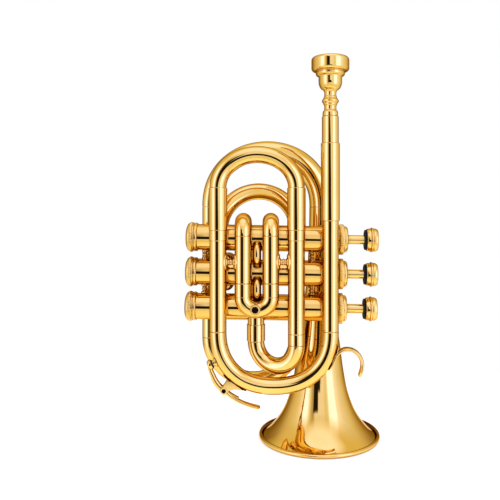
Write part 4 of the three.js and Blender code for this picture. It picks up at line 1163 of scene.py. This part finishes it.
def set_camera():
    data = bpy.data.cameras.new("camera")
    data.sensor_width, data.lens = SENSOR, LENS
    data.shift_x, data.shift_y = SHIFT_ACROSS, SHIFT_UP
    data.clip_start, data.clip_end = 0.05, 20.0
    camera = bpy.data.objects.new("camera", data)
    camera.location = spot(*CAMERA_PLACE)
    camera.rotation_euler = (math.pi / 2, 0, 0)
    bpy.context.scene.collection.objects.link(camera)
    bpy.context.scene.camera = camera


# The studio round the object, by the angle from the camera's side to the right, in degrees:
# how bright, and how warm, where less than nothing is the cool white of a soft box
STUDIO = [
    (-180, 0.28, 0.9), (-150, 0.28, 0.9), (-132, 0.45, 0.7), (-110, 0.8, 0.4), (-84, 0.95, 0.0),
    (-67, 1.2, -0.5), (-62, 1.65, -1.0), (-47, 1.65, -1.0), (-40, 1.1, -0.3), (-30, 0.6, 0.4),
    (-24, 0.5, 0.5), (-17, 1.08, -0.4), (12, 1.08, -0.4), (22, 0.95, 0.0), (29, 1.1, -0.4),
    (34, 1.8, -1.0), (56, 1.8, -1.0), (63, 1.25, -0.6), (82, 1.02, -0.3), (108, 0.85, 0.1),
    (128, 0.65, 0.5), (150, 0.32, 0.8), (180, 0.28, 0.9),
]
BRIGHTEST = 4.0
WARM, COOL = (1.0, 0.68, 0.24), (0.98, 1.09, 2.55)
OVERHEAD, OVERHEAD_LIGHT = (0.0, -0.34, 0.94), (1.28, 1.38, 2.4)
CEILING, TABLE, ROOM = (0.88, 0.78, 0.44), (0.97, 0.97, 0.85), (0.75, 0.75, 0.75)
# Black strips before that ring: from and to degrees, from and to a share of straight up
BLACK_STRIPS = [(-20, 9, -0.26, 0.0), (-21, 5, -0.26, 0.07), (-22, 1, -0.26, 0.13), (-25, -7.4, -0.28, 0.41)]
BLACK, STRIP_SOFTNESS = (0.02, 0.012, 0.005), 0.02


def soft_boxes(tree, around):
    """The ring of light, by the angle round the object."""
    ramp = add_node(tree, "ShaderNodeValToRGB", {"Fac": mapped(tree, around, -math.pi, math.pi)})
    stops = ramp.color_ramp.elements
    while len(stops) < len(STUDIO):
        stops.new(0.5)
    for stop, (degrees, strength, warmth) in zip(stops, STUDIO):
        stop.position = (degrees + 180) / 360
        level, tint = strength / BRIGHTEST, WARM if warmth > 0 else COOL
        stop.color = (*[level * (1 + abs(warmth) * (share - 1)) for share in tint], 1)
    inputs = {0: ramp.outputs["Color"], "Scale": BRIGHTEST}
    return add_node(tree, "ShaderNodeVectorMath", inputs, operation="SCALE").outputs["Vector"]


def set_world():
    """White to the camera; to polished metal, a ring of soft boxes and dark gaps."""
    world = bpy.data.worlds.new("studio")
    bpy.context.scene.world = world
    world.use_nodes = True
    tree = world.node_tree
    tree.nodes.clear()

    def band(value, low, high):
        """One from low to high and nothing outside, with soft edges."""
        rise = mapped(tree, value, low - STRIP_SOFTNESS, low + STRIP_SOFTNESS)
        fall = mapped(tree, value, high - STRIP_SOFTNESS, high + STRIP_SOFTNESS, 1.0, 0.0)
        return maths(tree, "MULTIPLY", rise, fall)

    way = tree.nodes.new("ShaderNodeTexCoord").outputs["Generated"]
    parts = add_node(tree, "ShaderNodeSeparateXYZ", {"Vector": way}).outputs
    x, y, z = (parts[axis] for axis in "XYZ")
    around = maths(tree, "ARCTAN2", x, maths(tree, "MULTIPLY", y, -1.0))
    studio = soft_boxes(tree, around)
    # Upward the soft boxes fade into a plain ceiling, downward into the table
    studio = blended(tree, mapped(tree, z, 0.42, 0.75), studio, CEILING)
    studio = blended(tree, mapped(tree, z, -0.55, -0.28, 1.0, 0.0), studio, TABLE)
    overhead = add_node(tree, "ShaderNodeVectorMath", {0: way, 1: OVERHEAD}, operation="DOT_PRODUCT")
    studio = blended(tree, mapped(tree, overhead.outputs["Value"], 0.77, 0.93), studio, OVERHEAD_LIGHT)
    for left, right, low, high in BLACK_STRIPS:
        across = band(around, math.radians(left), math.radians(right))
        studio = blended(tree, maths(tree, "MULTIPLY", across, band(z, low, high)), studio, BLACK)
    rays = tree.nodes.new("ShaderNodeLightPath").outputs
    clear = maths(tree, "MAXIMUM", rays["Is Camera Ray"], rays["Is Transmission Ray"])
    colour = blended(tree, rays["Is Glossy Ray"], ROOM, studio)
    light = add_node(tree, "ShaderNodeBackground", {"Color": blended(tree, clear, colour, WHITE)})
    add_node(tree, "ShaderNodeOutputWorld", {"Surface": light.outputs["Background"]})


# The floor and the lamps

FLOOR_RADIUS, FLOOR_PLACE, FLOOR_GLOW = 0.45, (0.02, 0.0, -0.0002), 0.45
FADE_START, FADE_END = 0.12, 0.3
LAMPS = [("top_lamp", (0.25, -0.35, 0.9), 0.7, 3.0), ("side_lamp", (-0.7, -0.3, 0.6), 0.6, 2.0)]
LAMP_TARGET = Vector((0, 0, 0.1))


def make_floor_material():
    """White paper that fades out into the white behind it."""
    material, tree, shader = start_material("floor")
    place = tree.nodes.new("ShaderNodeTexCoord").outputs["Object"]
    away = add_node(tree, "ShaderNodeVectorMath", {0: place}, operation="LENGTH").outputs["Value"]
    fibre = add_node(tree, "ShaderNodeTexNoise", {"Vector": place, "Scale": 300.0}).outputs["Fac"]
    tone = mapped(tree, fibre, to_low=0.84, to_high=0.88)
    paper = add_node(tree, "ShaderNodeCombineColor", {"Red": tone, "Green": tone, "Blue": tone})
    rays = tree.nodes.new("ShaderNodeLightPath").outputs
    clear = maths(tree, "MAXIMUM", rays["Is Camera Ray"], rays["Is Transmission Ray"])
    shown = maths(tree, "MAXIMUM", clear, rays["Is Glossy Ray"])
    dress(tree, shader, {
        "Base Color": paper.outputs["Color"], "Alpha": mapped(tree, away, FADE_START, FADE_END, 1.0, 0.0),
        "Emission Color": WHITE, "Emission Strength": maths(tree, "MULTIPLY", shown, FLOOR_GLOW),
        "Roughness": 0.9, "Specular IOR Level": 0.1,
    })
    return material


def make_floor():
    form = new_form()
    bmesh.ops.create_circle(form, cap_ends=True, radius=FLOOR_RADIUS, segments=96)
    mesh = bpy.data.meshes.new("floor")
    form.to_mesh(mesh)
    form.free()
    mesh.materials.append(make_floor_material())
    floor = bpy.data.objects.new("floor", mesh)
    floor.location = FLOOR_PLACE
    bpy.context.scene.collection.objects.link(floor)


def add_lamp(name, location, size, power):
    data = bpy.data.lights.new(name, "AREA")
    data.shape, data.size, data.energy = "DISK", size, power
    lamp = bpy.data.objects.new(name, data)
    lamp.location = location
    lamp.rotation_euler = (LAMP_TARGET - Vector(location)).to_track_quat("-Z", "Y").to_euler()
    lamp.visible_glossy = False
    bpy.context.scene.collection.objects.link(lamp)


set_camera()
make_near_loop()
make_tuning_slide()
make_entry()
make_valves()
make_first_slide()
make_second_slide()
make_third_slide()
make_coil()
make_bell()
make_mouthpiece()
make_finger_hook()
make_water_key()
make_braces()
finish_inner_nodes()
make_floor()
set_world()
for lamp in LAMPS:
    add_lamp(*lamp)
bpy.context.scene.view_settings.view_transform = "Standard"
